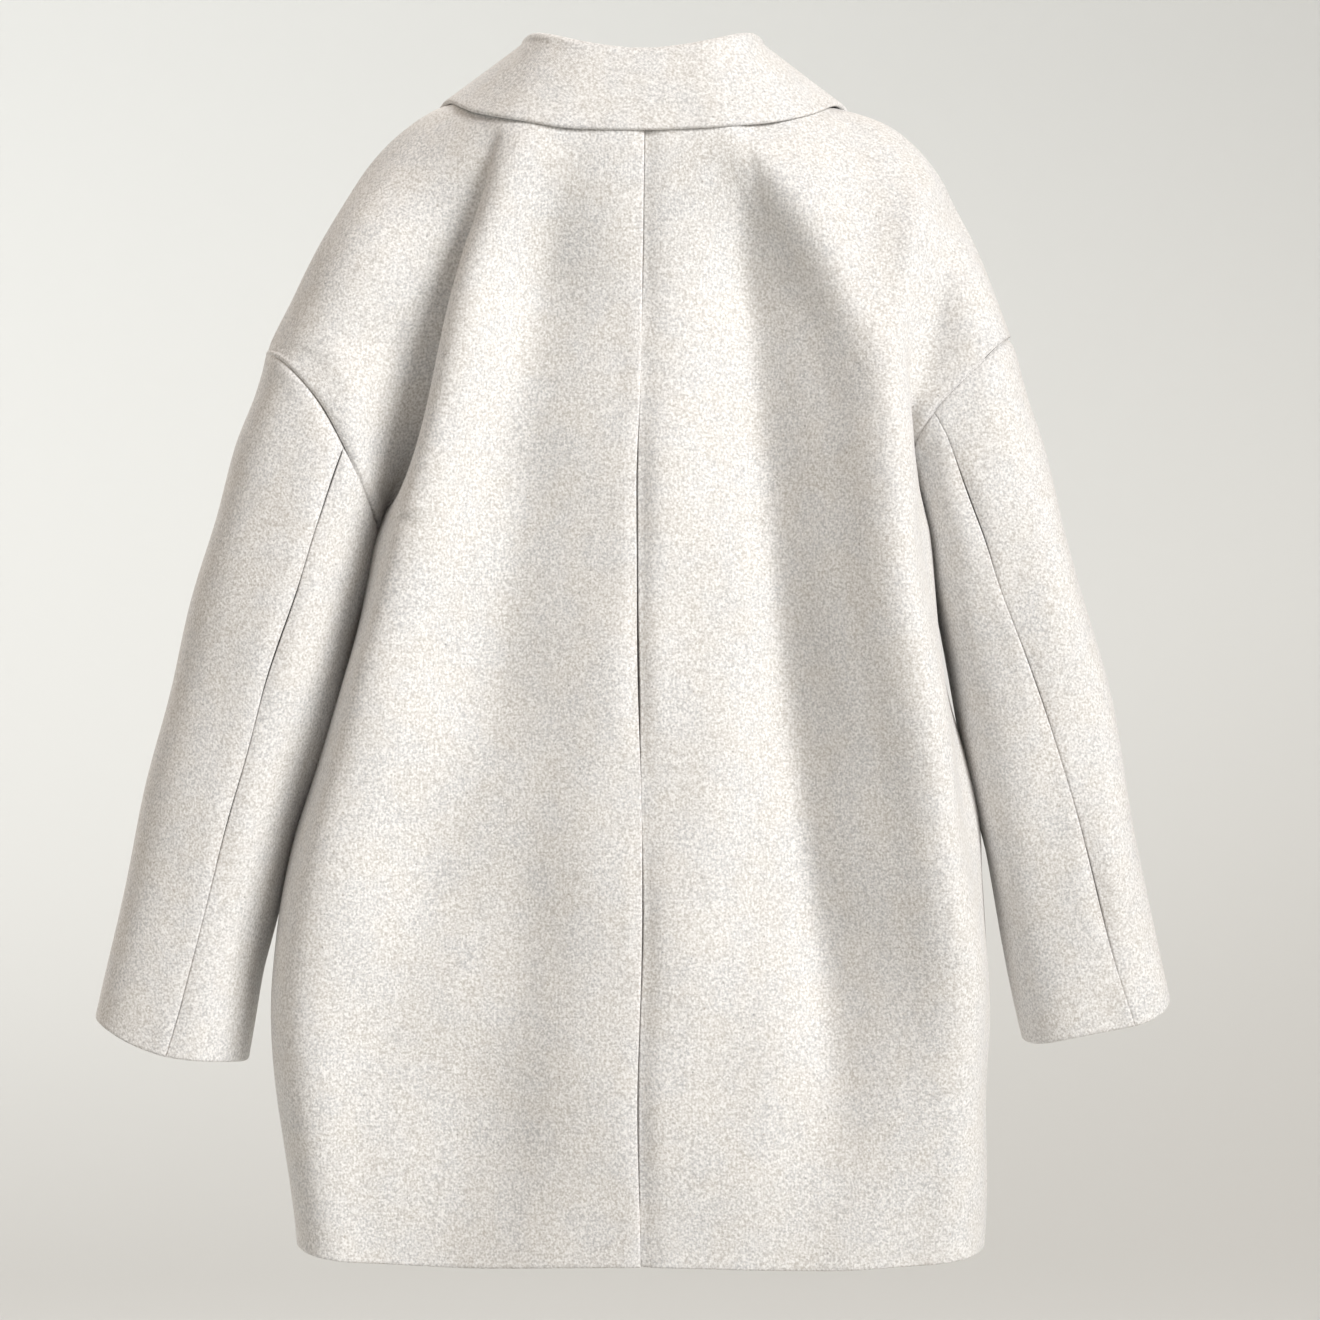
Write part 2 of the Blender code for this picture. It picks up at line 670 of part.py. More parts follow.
def button_mesh(finish):
    """A turned button with a dished face, its seat at the origin and its face along +Z."""
    turned = bmesh.new()
    profile = [turned.verts.new((radius * MM, 0.0, height * MM)) for radius, height in BUTTON_PROFILE]
    edges = [turned.edges.new(pair) for pair in zip(profile[:-1], profile[1:])]
    bmesh.ops.spin(turned, geom=profile + edges, axis=(0.0, 0.0, 1.0), cent=(0.0, 0.0, 0.0),
                   steps=BUTTON_SIDES, angle=2.0 * math.pi)
    bmesh.ops.remove_doubles(turned, verts=turned.verts, dist=MM * MM)
    bmesh.ops.recalc_face_normals(turned, faces=turned.faces)
    mesh = bpy.data.meshes.new("button")
    turned.to_mesh(mesh)
    turned.free()
    return finished(mesh, finish)


def add_button(name, mesh, panel, x, z):
    """Seat a button on the faces of a front panel, square to them and clear of the highest one under it."""
    def on_panel(right, up):
        start = (x + right * BUTTON_SEAT, FAR_FRONT, z + up * BUTTON_SEAT)
        return np.array(panel.ray_cast(start, (0.0, 1.0, 0.0))[0])

    across = on_panel(1.0, 0.0) - on_panel(-1.0, 0.0)
    across /= np.linalg.norm(across)
    out = np.cross(across, on_panel(0.0, 1.0) - on_panel(0.0, -1.0))
    out /= np.linalg.norm(out)
    middle = on_panel(0.0, 0.0)
    angles = np.linspace(0.0, 2.0 * math.pi, BUTTON_SIDES, endpoint=False)
    under = [middle] + [on_panel(math.cos(angle), math.sin(angle)) for angle in angles]
    highest = max((point - middle) @ out for point in under)
    node = add_node(name, mesh)
    node.location = (middle + out * (highest + BUTTON_GAP)) * MM
    node.rotation_euler = Matrix((across, np.cross(out, across), out)).transposed().to_euler()


def shell_sheets():
    """Outer surfaces of the panels and sleeves, and the points of the neck seam on each side."""
    sheets = []
    neck = {}
    top_columns = list(range(SLEEVE_FRONT_SEAM, SLEEVE_COLUMNS)) + list(range(SLEEVE_BACK_SEAM + 1))
    under_columns = list(range(SLEEVE_BACK_SEAM, SLEEVE_FRONT_SEAM + 1))
    for side in SIDES:
        left = side == "left"
        rows = rows_of(side)
        back = [back_row(side, row) for row in rows]
        front = [front_row(side, row) for row in rows]
        sheets.append(Sheet("back_" + side, panel_quads(back, sum(BACK_STEPS), True, left)))
        sheets.append(Sheet("front_" + side, panel_quads(front, sum(ARM_STEPS), False, left)))
        rings = sleeve_rings(side)
        for name, columns in (("top", top_columns), ("under", under_columns)):
            grid = [[ring[j] for j in columns] for ring in rings]
            sheets.append(Sheet("sleeve_" + side + "_" + name, grid_quads(grid, left)))
        neck[side] = back[-1] + front[-1][1:]
    return sheets, neck


def add_shell(sheets, finish):
    """Close the panels and sleeves into walls, which part evenly where they meet at the underarm."""
    normals = shared_normals(sheets)
    corners = {"back": {}, "front": {}, "sleeve": {}}
    for side in SIDES:
        sign = SIDES[side]["sign"]
        key = point_key(underarm(side) * np.array([sign, 1.0, 1.0]))
        normals[key] = np.array([0.0, 0.0, -1.0])
        corners["back"][key] = np.array([-0.5 * sign, 1.0, 0.0])
        corners["front"][key] = np.array([-0.5 * sign, -1.0, 0.0])
        corners["sleeve"][key] = np.array([sign, 0.0, -1.0])
    for sheet in sheets:
        add_wall(sheet, normals, SEAM_GAP, corners[sheet.name.split("_")[0]], finish)


def main():
    for old in list(bpy.data.objects):
        bpy.data.objects.remove(old)
    bpy.context.scene.collection.objects.link(bpy.data.objects.new("coat", None))
    wool = new_finish(*WOOL)
    horn = new_finish(*HORN)

    sheets, neck = shell_sheets()
    add_shell(sheets, wool)

    laid = [Sheet("collar", collar_quads(neck_stations(neck)))]
    laid += [Sheet("lapel_" + side, lapel_quads(side)) for side in SIDES]
    for sheet in laid:
        add_wall(sheet, shared_normals([sheet]), 0.0, {}, wool)

    right_front = next(sheet for sheet in sheets if sheet.name == "front_right")
    panel = BVHTree.FromPolygons([tuple(point) for point in right_front.points], right_front.faces)
    button = button_mesh(horn)
    number = 1
    for z in BUTTON_LEVELS:
        for x in (-BUTTON_X, BUTTON_X):
            add_button("button_" + str(number), button, panel, x, z)
            number += 1


main()
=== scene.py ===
# %% [markdown]
# A double-breasted coat of felted wool, seen from behind.
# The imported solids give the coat's cut and drape as plain walls. This script dresses them: every sewn piece
# becomes a fine shell on the same form, with seams, folded edges, creases and a napped wool finish.
# We start by loading the solids. They stay where they are, and each piece made here takes the place of one.

# %% Load the solids
import math

import bpy
import numpy as np
from mathutils import Matrix, Vector
from mathutils.bvhtree import BVHTree


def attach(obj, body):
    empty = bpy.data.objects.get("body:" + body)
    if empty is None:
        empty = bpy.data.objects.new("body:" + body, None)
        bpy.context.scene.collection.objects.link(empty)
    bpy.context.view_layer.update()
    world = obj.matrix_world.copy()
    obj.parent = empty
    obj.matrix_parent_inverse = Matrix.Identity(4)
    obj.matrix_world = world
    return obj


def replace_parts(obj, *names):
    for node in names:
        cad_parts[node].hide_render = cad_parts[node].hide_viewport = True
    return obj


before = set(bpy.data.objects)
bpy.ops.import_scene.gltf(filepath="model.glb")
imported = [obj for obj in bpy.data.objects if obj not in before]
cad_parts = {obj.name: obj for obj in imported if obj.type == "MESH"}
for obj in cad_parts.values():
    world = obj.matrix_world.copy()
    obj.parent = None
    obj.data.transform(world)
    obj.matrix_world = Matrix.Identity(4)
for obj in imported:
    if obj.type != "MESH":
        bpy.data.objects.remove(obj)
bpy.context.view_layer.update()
scene = bpy.context.scene
MM = 0.001

# %% [markdown]
# The photograph looks taken square on from behind, at the height of the coat's middle, with a long lens.
# So the camera stands three metres behind the coat, and the field of view comes from the size of the frame
# there. A real focal length could be set instead, but the frame's size is what can be measured.

# %% Camera
CAMERA_DISTANCE = 3.0
FRAME_HALF = 0.462     # half of the picture's side at the coat, in metres
FRAME_MIDDLE = Vector((-0.012, 0.0, -0.392))   # what lies in the middle of the picture
LEVEL, TOWARDS_FRONT = math.radians(90.0), math.radians(180.0)
camera = bpy.data.objects.new("camera", bpy.data.cameras.new("camera"))
camera.location = FRAME_MIDDLE + Vector((0.0, CAMERA_DISTANCE, 0.0))
camera.rotation_euler = (LEVEL, 0.0, TOWARDS_FRONT)
camera.data.angle = 2.0 * math.atan(FRAME_HALF / CAMERA_DISTANCE)
scene.collection.objects.link(camera)
scene.camera = camera
scene.view_settings.view_transform = "Standard"
print("camera angle", round(math.degrees(camera.data.angle), 2))

# %% [markdown]
# Materials are small node networks. One function adds any node, sets its properties and fills its inputs,
# either with a value or with another node's output. Colours are written as the hex values that a colour
# picker shows, and one function turns them into the linear light that the shader works in.

# %% Colours and nodes
def linear(hex_colour):
    """An sRGB hex colour as linear RGBA."""
    parts = [int(hex_colour[i:i + 2], 16) / 255.0 for i in (1, 3, 5)]
    light = [c / 12.92 if c <= 0.04045 else ((c + 0.055) / 1.055) ** 2.4 for c in parts]
    return (*light, 1.0)


def add_node(tree, kind, inputs=(), **settings):
    """Add a shader node with its settings, and give its inputs values or links."""
    node = tree.nodes.new("ShaderNode" + kind)
    for name, value in settings.items():
        setattr(node, name, value)
    for name, value in dict(inputs).items():
        if isinstance(value, bpy.types.NodeSocket):
            tree.links.new(value, node.inputs[name])
        else:
            node.inputs[name].default_value = value
    return node


def new_material(name):
    """An empty material with a Principled shader, its tree and the shader."""
    material = bpy.data.materials.new(name)
    material.use_nodes = True
    return material, material.node_tree, material.node_tree.nodes["Principled BSDF"]


# %% [markdown]
# The stage is a wide pale bowl: a flat floor that sweeps up all round, so that every view has a plain
# ground. A flat plane would show its horizon. Matt paint keeps it even, with no gloss to draw the eye. The
# coat is worn, so the floor lies where it would for a standing wearer.

# %% Stage
FLOOR_Z = -1.42        # neck height of a standing wearer, in metres
FLOOR_RADIUS = 4.2
SWEEP_RADIUS = 2.6
BOWL_SIDES, BOWL_STEPS = 96, 17
FLOOR_COLOUR, FLOOR_ROUGHNESS = "#D1D3D2", 0.9


def make_bowl():
    """A floor that sweeps up all round."""
    arc = np.radians(np.linspace(-90.0, 0.0, BOWL_STEPS))
    profile = [(0.0, FLOOR_Z), (FLOOR_RADIUS / 2, FLOOR_Z)]
    for angle in arc:
        out = FLOOR_RADIUS + SWEEP_RADIUS * math.cos(angle)
        profile.append((out, FLOOR_Z + SWEEP_RADIUS * (1.0 + math.sin(angle))))
    turns = np.linspace(0.0, 2.0 * math.pi, BOWL_SIDES, endpoint=False)
    points = [(r * math.cos(t), r * math.sin(t), z) for r, z in profile for t in turns]
    faces = []
    for ring in range(len(profile) - 1):
        for i in range(BOWL_SIDES):
            j = (i + 1) % BOWL_SIDES
            low, high = ring * BOWL_SIDES, (ring + 1) * BOWL_SIDES
            faces.append((low + i, low + j, high + j, high + i))
    mesh = bpy.data.meshes.new("studio_floor")
    mesh.from_pydata(points, [], faces)
    mesh.shade_smooth()
    return bpy.data.objects.new("studio_floor", mesh)


paint, _, paint_shader = new_material("matt_floor_paint")
paint_shader.inputs["Base Color"].default_value = linear(FLOOR_COLOUR)
paint_shader.inputs["Roughness"].default_value = FLOOR_ROUGHNESS
floor = make_bowl()
floor.data.materials.append(paint)
scene.collection.objects.link(floor)
print("floor", len(floor.data.polygons), "faces, at", FLOOR_Z, "m")

# %% [markdown]
# Soft studio light: a key light from the right of the picture and a little above, as in the photograph,
# weaker fills from above and from the coat's front, and an even pale sky over the bowl. Area lamps would
# fall off across the stage. Sun lamps light it as brightly as the coat, so the ground stays pale, and a
# wide sun angle makes their shadows soft, like those of a large window.

# %% Lights
# Each light: its direction from the coat, its strength, its spread in degrees and its colour.
LIGHTS = {
    "key": ((-0.66, 0.66, 0.40), 3.45, 26.0, "#FFFEFC"),
    "top_fill": ((0.55, 0.0, 0.83), 0.6, 60.0, "#FFEBD8"),
    "front_fill": ((0.22, -0.75, 0.60), 1.7, 40.0, "#FFFEFC"),
}
SKY_COLOUR, SKY_STRENGTH = "#F8E7D8", 0.2


def add_light(name, towards, strength, spread_angle, colour):
    """A soft distant light."""
    lamp = bpy.data.lights.new(name, "SUN")
    lamp.energy = strength
    lamp.angle = math.radians(spread_angle)
    lamp.color = linear(colour)[:3]
    light = bpy.data.objects.new(name, lamp)
    light.rotation_euler = Vector(towards).to_track_quat("Z", "Y").to_euler()
    scene.collection.objects.link(light)


for name, settings in LIGHTS.items():
    add_light(name, *settings)
sky = bpy.data.worlds.new("sky")
sky.use_nodes = True
sky.node_tree.nodes["Background"].inputs["Color"].default_value = linear(SKY_COLOUR)
sky.node_tree.nodes["Background"].inputs["Strength"].default_value = SKY_STRENGTH
scene.world = sky
print("lights:", list(LIGHTS), "and the sky")

# %% [markdown]
# The cut. The solids were worked out from short tables of sizes, in millimetres. Tables like them shape the
# fine shells here, so that each shell lies on its solid: copying the solids' points would give only their
# coarse steps, and a smooth curve through a few rows gives every level between them. The front faces -Y,
# the wearer's left is +X and the origin is the middle of the neck opening.

# %% Reading a table of sizes
def hermite(first, last, start, end, t):
    """A cubic between two values with a slope at each end."""
    rise = last - first
    return first + t * (start + t * (3.0 * rise - 2.0 * start - end + t * (start + end - 2.0 * rise)))


def blend(start, end, t):
    """Ease from 0 to 1 as t goes from start to end."""
    s = np.clip((t - start) / (end - start), 0.0, 1.0)
    return s * s * (3.0 - 2.0 * s)


class Table:
    """Rows of sizes under named columns, read by the first column along smooth curves without overshoot."""

    def __init__(self, columns, rows):
        rows = np.array(sorted(rows), dtype=float)
        self.rows = rows
        self.keys = rows[:, 0]
        self.values = dict(zip(columns.split(), rows.T))
        self.slopes = {name: self.slopes_of(column) for name, column in self.values.items()}

    def slopes_of(self, column):
        step = np.diff(self.keys)
        slope = np.diff(column) / step
        same_way = np.nonzero(slope[:-1] * slope[1:] > 0.0)[0]
        found = np.zeros(len(column))
        found[0], found[-1] = slope[0], slope[-1]
        before = 2.0 * step[same_way + 1] + step[same_way]
        after = step[same_way + 1] + 2.0 * step[same_way]
        found[same_way + 1] = (before + after) / (before / slope[same_way] + after / slope[same_way + 1])
        return found

    def at(self, name, key):
        column, slope = self.values[name], self.slopes[name]
        i = np.clip(np.searchsorted(self.keys, key) - 1, 0, len(self.keys) - 2)
        step = self.keys[i + 1] - self.keys[i]
        t = np.clip((key - self.keys[i]) / step, 0.0, 1.0)
        return hermite(column[i], column[i + 1], slope[i] * step, slope[i + 1] * step, t)


# %% Body
# Depths of the centre back and centre front, and the place and depth of each side seam, which higher up is
# the trough between the back and the arm.
BODY = Table("z back front left_in right_in left_y right_y", [
    (8, 66, 50, 72, 70, 38, 38),
    (-16, 79, 56, 92, 92, 65, 60),
    (-40, 88, 62, 101, 112, 74, 69),
    (-70, 94, 70, 109, 140, 71, 73),
    (-105, 98, 76, 117, 166, 60, 75),
    (-150, 100, 80, 128, 184, 50, 73),
    (-200, 102, 83, 140, 186, 38, 70),
    (-225, 103, 84, 148, 183, 30, 60),
    (-250, 104, 85, 155, 181, 20, 29),
    (-300, 104.5, 86, 185, 196, 2, 2),
    (-330, 105, 87, 191, 200.5, -6, -8),
    (-360, 105, 87, 196, 205, -10, -11),
    (-420, 106, 88, 209, 214, -12, -12),
    (-525, 108, 88, 244, 237, -9, -9),
    (-630, 108, 86, 255, 242, -6, -6),
    (-680, 107, 84, 250, 238, -5, -5),
    (-735, 106, 82, 244, 235, -5, -5),
    (-804, 103, 78, 235, 231, -5, -5),
])

# %% Outer folds of the back, and the chest
# A ridge, and the sharp turn that follows it, on each side.
RIDGES = {
    "left": Table("z ridge_x ridge_y turn_x turn_y", [
        (8, 42, 58, 62, 50),
        (-16, 68, 75, 86, 68),
        (-40, 84, 85, 98, 78),
        (-70, 97, 89, 109, 80),
        (-105, 109, 91, 120, 79),
        (-150, 121, 92, 131, 78),
        (-200, 133, 93, 143, 77),
        (-250, 146, 93, 156, 75),
        (-330, 169, 94, 181, 71),
        (-420, 192, 93, 206, 68),
        (-525, 219, 89, 236, 61),
        (-630, 233, 84, 255, 49),
        (-735, 226, 77, 247, 37),
        (-804, 219, 71, 240, 30),
    ]),
    "right": Table("z ridge_x ridge_y turn_x turn_y", [
        (8, 40, 58, 60, 50),
        (-16, 56, 75, 76, 66),
        (-40, 72, 87, 92, 78),
        (-70, 92, 94, 116, 84),
        (-105, 113, 98, 140, 87),
        (-150, 138, 102, 162, 88),
        (-200, 163, 105, 180, 87),
        (-250, 171, 111, 187, 76),
        (-330, 179, 118, 195, 70),
        (-420, 192, 117, 209, 64),
        (-525, 209, 110, 227, 56),
        (-630, 219, 100, 238, 46),
        (-735, 218, 86, 238, 36),
        (-804, 216, 77, 236, 30),
    ]),
}

# Trough between chest and arm, above the underarm.
CHEST = Table("z trough_x trough_y", [
    (8, 70, -30),
    (-16, 92, -37),
    (-40, 106, -42),
    (-70, 119, -45),
    (-105, 131, -46),
    (-150, 141, -46),
    (-200, 153, -43),
    (-250, 165, -34),
])

# %% Arms
# Shoulder and arm: outer edge on each side, half width, half depth and depth of the middle.
ARM = Table("z left right left_half right_half deep middle", [
    (8, 88, 88, 40, 40, 28, 2),
    (0, 113, 113, 50, 50, 35, 1),
    (-10, 147, 149, 60, 60, 41, 1),
    (-24, 170, 179, 68, 68, 48, 0),
    (-45, 191, 201, 70, 70, 55, 0),
    (-73, 209, 218, 70, 70, 61, 1),
    (-105, 226, 234, 68, 68, 65, 5),
    (-140, 244, 247, 65, 64, 66, 6),
    (-176, 262, 259, 62, 60, 67, 6),
    (-210, 272, 268, 60, 57, 67, 5),
    (-245, 286, 280, 59.5, 52, 66, 4),
    (-300, 302, 294.5, 60, 50, 65, 3),
    (-350, 316, 308, 62, 53, 63, 2),
    (-420, 333, 327, 61.5, 55, 59, 1),
    (-525, 357, 347, 55.5, 54, 53, 0),
    (-600, 372, 361, 54, 54, 48, 0),
    (-640, 382, 371, 55.5, 54, 46, 0),
    (-680, 393, 381, 57, 54, 45, 0),
])

# Each arm: levels of shoulder point and underarm, bow of the armhole seam, lean of the shoulder seam to the
# back, turn of the sleeve down to the cuff, and the cuff's level, tilt and drop at the back.
SIDES = {
    "left": dict(
        sign=1.0, point_z=-177.0, under_z=-301.0, bow=0.87, bow_power=1.25, dip_power=9.0, lean=8.0,
        twist=-11.0, cuff=-657.0, tilt=14.0, drop=7.0),
    "right": dict(
        sign=-1.0, point_z=-167.0, under_z=-290.0, bow=0.68, bow_power=1.0, dip_power=30.0, lean=0.0,
        twist=-34.0, cuff=-642.0, tilt=13.0, drop=8.0),
}
print("rows of sizes:", len(BODY.rows), "for the body and", len(ARM.rows), "for the arms")

# %% [markdown]
# Lines that pieces share. Panels and sleeves meet at the armhole and the side seam, so each of these lines
# comes from one function that both sides of the seam use. Then the pieces fit, and nothing has to be
# trimmed.

# %% Points on the arm
ARM_FLAT = 0.08        # how far the arm's oval is flattened at back and front
ARM_FLAT_LEVELS = (-20.0, -90.0)
SEAM_RIDGE = 9.0       # the left sleeve breaks along its back seam
SEAM_RIDGE_LEVELS = (-200.0, -330.0)
SEAM_RIDGE_ANGLE, SEAM_RIDGE_SPREAD = math.radians(105.0), math.radians(42.0)


def arm_point(side, angle, z):
    """A point of the shoulder or sleeve at a level, 0 at the outer edge, going round by the back."""
    half = ARM.at(side + "_half", z)
    flat = ARM_FLAT * blend(*ARM_FLAT_LEVELS, z)
    x = ARM.at(side, z) - half + half * np.cos(angle)
    y = ARM.at("middle", z) + ARM.at("deep", z) * (np.sin(angle) + flat * np.sin(3.0 * angle)) / (1.0 - flat)
    if side == "left":
        past = angle - SEAM_RIDGE_ANGLE
        away = np.arctan2(np.sin(past), np.cos(past)) / SEAM_RIDGE_SPREAD
        y = y + SEAM_RIDGE * blend(*SEAM_RIDGE_LEVELS, z) * np.exp(-away ** 2)
    return np.stack(np.broadcast_arrays(x, y, z), axis=-1).astype(float)


def armhole_level(side, angle):
    """Level of the armhole seam at an angle round the arm."""
    arm = SIDES[side]
    across = (1.0 - np.cos(angle)) / 2.0
    drop = arm["bow"] * across ** arm["bow_power"] + (1.0 - arm["bow"]) * across ** arm["dip_power"]
    return arm["point_z"] + (arm["under_z"] - arm["point_z"]) * drop


def underarm(side):
    """Lowest point of the armhole."""
    return arm_point(side, math.pi, SIDES[side]["under_z"])


# %% Side, chest and roll lines
NECK_BACK_Z, NECK_SIDE_Z, NECK_FRONT_Z = -16.0, 8.0, -40.0
OVERLAP = 95.0         # how far each front runs past the centre front
ROLL_TOP_X = 72.0      # roll line of the lapel at the neck
BREAK_Z = -330.0       # lower end of the roll line
CHEST_REACH, SIDE_REACH = 28.0, 3.0   # how near the underarm's level a line is drawn to it


def roll_x(z):
    """Front edge at a level: the roll line above the break, the straight edge below it."""
    share = np.clip((NECK_FRONT_Z - z) / (NECK_FRONT_Z - BREAK_Z), 0.0, 1.0)
    return ROLL_TOP_X - (ROLL_TOP_X + OVERLAP) * share


def drawn_to_underarm(side, line, reach):
    """Draw a trough or the side seam to the underarm near its level."""
    under = underarm(side)
    near = blend(reach, 0.0, abs(line[2] - under[2]))
    line[:2] += (under[:2] - line[:2]) * near
    return line


def side_line(side, z):
    """Point of the side seam at a level, or of the trough above it."""
    line = np.array([BODY.at(side + "_in", z), BODY.at(side + "_y", z), z])
    return drawn_to_underarm(side, line, SIDE_REACH)


def chest_line(side, z):
    """Point of the trough between chest and arm at a level."""
    line = np.array([CHEST.at("trough_x", z), CHEST.at("trough_y", z), z])
    return drawn_to_underarm(side, line, CHEST_REACH)


print("underarms at", {side: underarm(side).round(1).tolist() for side in SIDES})

# %% [markdown]
# Where the mesh is fine. Seams and folded edges are only a few millimetres wide, so the rows and columns
# crowd together there and open out to an even spacing in the middle of a panel. A fine mesh all over would
# do as well, but it would be many times larger.

# %% Spacing of the points
EDGE = np.array([0.15, 0.4, 0.7, 1.1, 1.6, 2.2, 3.0, 4.2, 6.0, 8.5, 12.0])   # distances from an edge


def spread(length, count):
    """Places along a length: close together near both ends, even between."""
    middle = np.linspace(EDGE[-1], length - EDGE[-1], count)
    return np.concatenate([EDGE[:-1], middle, length - EDGE[-2::-1]])


def run_of(line):
    """Distance along a line of points."""
    return np.concatenate([[0.0], np.cumsum(np.linalg.norm(np.diff(line, axis=0), axis=1))])


def placed(line, places, run):
    """Points at some distances along a line."""
    return np.stack([np.interp(places, run, line[:, k]) for k in range(3)], axis=-1)


# %% Rows of the body
HEM_Z = -804.0
LOW_ROWS = 100         # hem to underarm
HOLE_ROWS = 64         # round half of the armhole
TOP_ROWS = 44          # shoulder point to neck
RUN_SAMPLES = 400      # for measuring along the shoulder


def shoulder_levels(side):
    """Levels along the shoulder seam, evenly apart."""
    levels = np.linspace(SIDES[side]["point_z"], NECK_SIDE_Z, RUN_SAMPLES)
    run = run_of(np.stack([levels, ARM.at(side, levels)], axis=-1))
    return np.interp(np.linspace(0.0, run[-1], TOP_ROWS + 1)[1:], run, levels)


def low_levels(side):
    """Levels from the hem to the underarm, close together at the hem."""
    top = SIDES[side]["under_z"]
    even = np.linspace(HEM_Z + EDGE[-1], top, LOW_ROWS + 1)[:-1]
    return np.concatenate([HEM_Z + EDGE[:-1] - EDGE[0], even])


def edge_levels(side):
    """Levels of all rows at the side, armhole and shoulder seams."""
    hole = armhole_level(side, np.linspace(math.pi, 0.0, HOLE_ROWS + 1))
    return np.concatenate([low_levels(side), hole, shoulder_levels(side)])


def rows_of(side):
    """Levels of each row at its seam, centre back and front edge, and its angle on the arm, if it has one."""
    mean = (edge_levels("left") + edge_levels("right")) / 2.0
    low_count = len(low_levels(side))
    point_row = low_count + HOLE_ROWS
    mean[low_count:point_row + 1] = np.linspace(mean[low_count], mean[point_row], HOLE_ROWS + 1)
    rows = []
    for i, edge in enumerate(edge_levels(side)):
        up = max(i - point_row, 0) / TOP_ROWS
        middle = mean[min(i, point_row)]
        angle = None
        if i >= low_count:
            angle = max(point_row - i, 0) * math.pi / HOLE_ROWS
        rows.append(dict(edge=edge, angle=angle, up=up,
                         back=middle + (NECK_BACK_Z - middle) * up,
                         front=middle + (NECK_FRONT_Z - middle) * up))
    return rows


# %% Smooth curve through key points
SPAN_SAMPLES = 30      # points between two keys
TINY = 1e-9


def spline(keys, first, last):
    """Dense points of a smooth curve through the keys, from one key to another."""
    points = np.array(keys)
    chord = np.sqrt(np.linalg.norm(np.diff(points, axis=0), axis=1)) + TINY
    slope = np.diff(points, axis=0) / chord[:, None]
    tangent = np.empty_like(points)
    tangent[0], tangent[-1] = slope[0], slope[-1]
    for i in range(1, len(points) - 1):
        tangent[i] = (slope[i - 1] * chord[i] + slope[i] * chord[i - 1]) / (chord[i - 1] + chord[i])
    t = np.linspace(0.0, 1.0, SPAN_SAMPLES, endpoint=False)[:, None]
    spans = [hermite(points[i], points[i + 1], tangent[i] * chord[i], tangent[i + 1] * chord[i], t)
             for i in range(first, last)]
    return np.concatenate(spans + [points[last:last + 1]])


# %% [markdown]
# Key points of a row. The real panels are cut flat and hang from the shoulders. A cloth simulation could
# drape them, but it is hard to steer towards a photograph. So each row across a panel is a smooth curve
# through a few key points, from the centre back out to the side or armhole seam, or from that seam in to
# the front edge. The back has a ridge, a sharp turn and a trough before it reaches the arm. The front is
# a shallow curve. Over the arm the row follows an oval, so that the body meets the sleeve smoothly at the
# armhole.

# %% Key points of the back
# Level of each key point, as a share of the way from the row's level at the centre to that at the seam:
# round the lower armhole on each side, and over the shoulders.
BACK_SHARES = {"left": (0.0, 0.06, 0.16, 0.26, 0.38), "right": (0.0, 0.15, 0.5, 0.9, 1.25)}
NECK_SHARES = (0.0, 0.06, 0.16, 0.26, 0.38)
SHARES_TURN = (math.radians(20.0), math.radians(100.0))   # angles between which one goes over to the other
NECK_EVEN = 0.45       # evens out the rows towards the neck
RIDGE_PULL = 0.35      # how far the ridge's depth is felt halfway to the centre


def low_share(row):
    """0 over the shoulder, 1 for the rows round the lower half of the armhole."""
    return blend(*SHARES_TURN, math.pi if row["angle"] is None else row["angle"])


def back_keys(side, row):
    """Key points from the centre back out to the side seam or trough."""
    bow = 1.0 - NECK_EVEN * row["up"]
    low = low_share(row)
    shares = np.array(BACK_SHARES[side]) * low + np.array(NECK_SHARES) * (1.0 - low)
    z = row["back"] + (row["edge"] - row["back"]) * shares ** bow
    if row["angle"] is None:
        z[-1] = row["edge"]
    fold = RIDGES[side]
    ridge_x = fold.at("ridge_x", z[2])
    middle = BODY.at("back", z[1]) * (1.0 - RIDGE_PULL) + fold.at("ridge_y", z[1]) * RIDGE_PULL
    return [
        np.array([0.0, BODY.at("back", z[0]), z[0]]),
        np.array([ridge_x / 2.0, middle, z[1]]),
        np.array([ridge_x, fold.at("ridge_y", z[2]), z[2]]),
        np.array([fold.at("turn_x", z[3]), fold.at("turn_y", z[3]), z[3]]),
        underarm(side) if row["angle"] == math.pi else side_line(side, z[4]),
    ]


# %% Key points of the front
FRONT_TURN = 0.92      # the front turns to the side at this share of the width
FRONT_ROUND = 0.3      # how much shallower the front is at its sides
FRONT_STEEPER = {"left": 1.0, "right": 3.4}   # how much more the low rows rise to the seam

# Key points as shares of the way from that turn to the front edge, and of the rise to the seam.
FRONT_SHARES = ((0.0, 0.25), (0.34, 0.12), (0.68, 0.04), (1.0, 0.0))


def front_depth(x, z, trough_x):
    """Depth of the front at a place, shallower towards the side."""
    return -BODY.at("front", z) * (1.0 - FRONT_ROUND * np.abs(x / trough_x) ** 3)


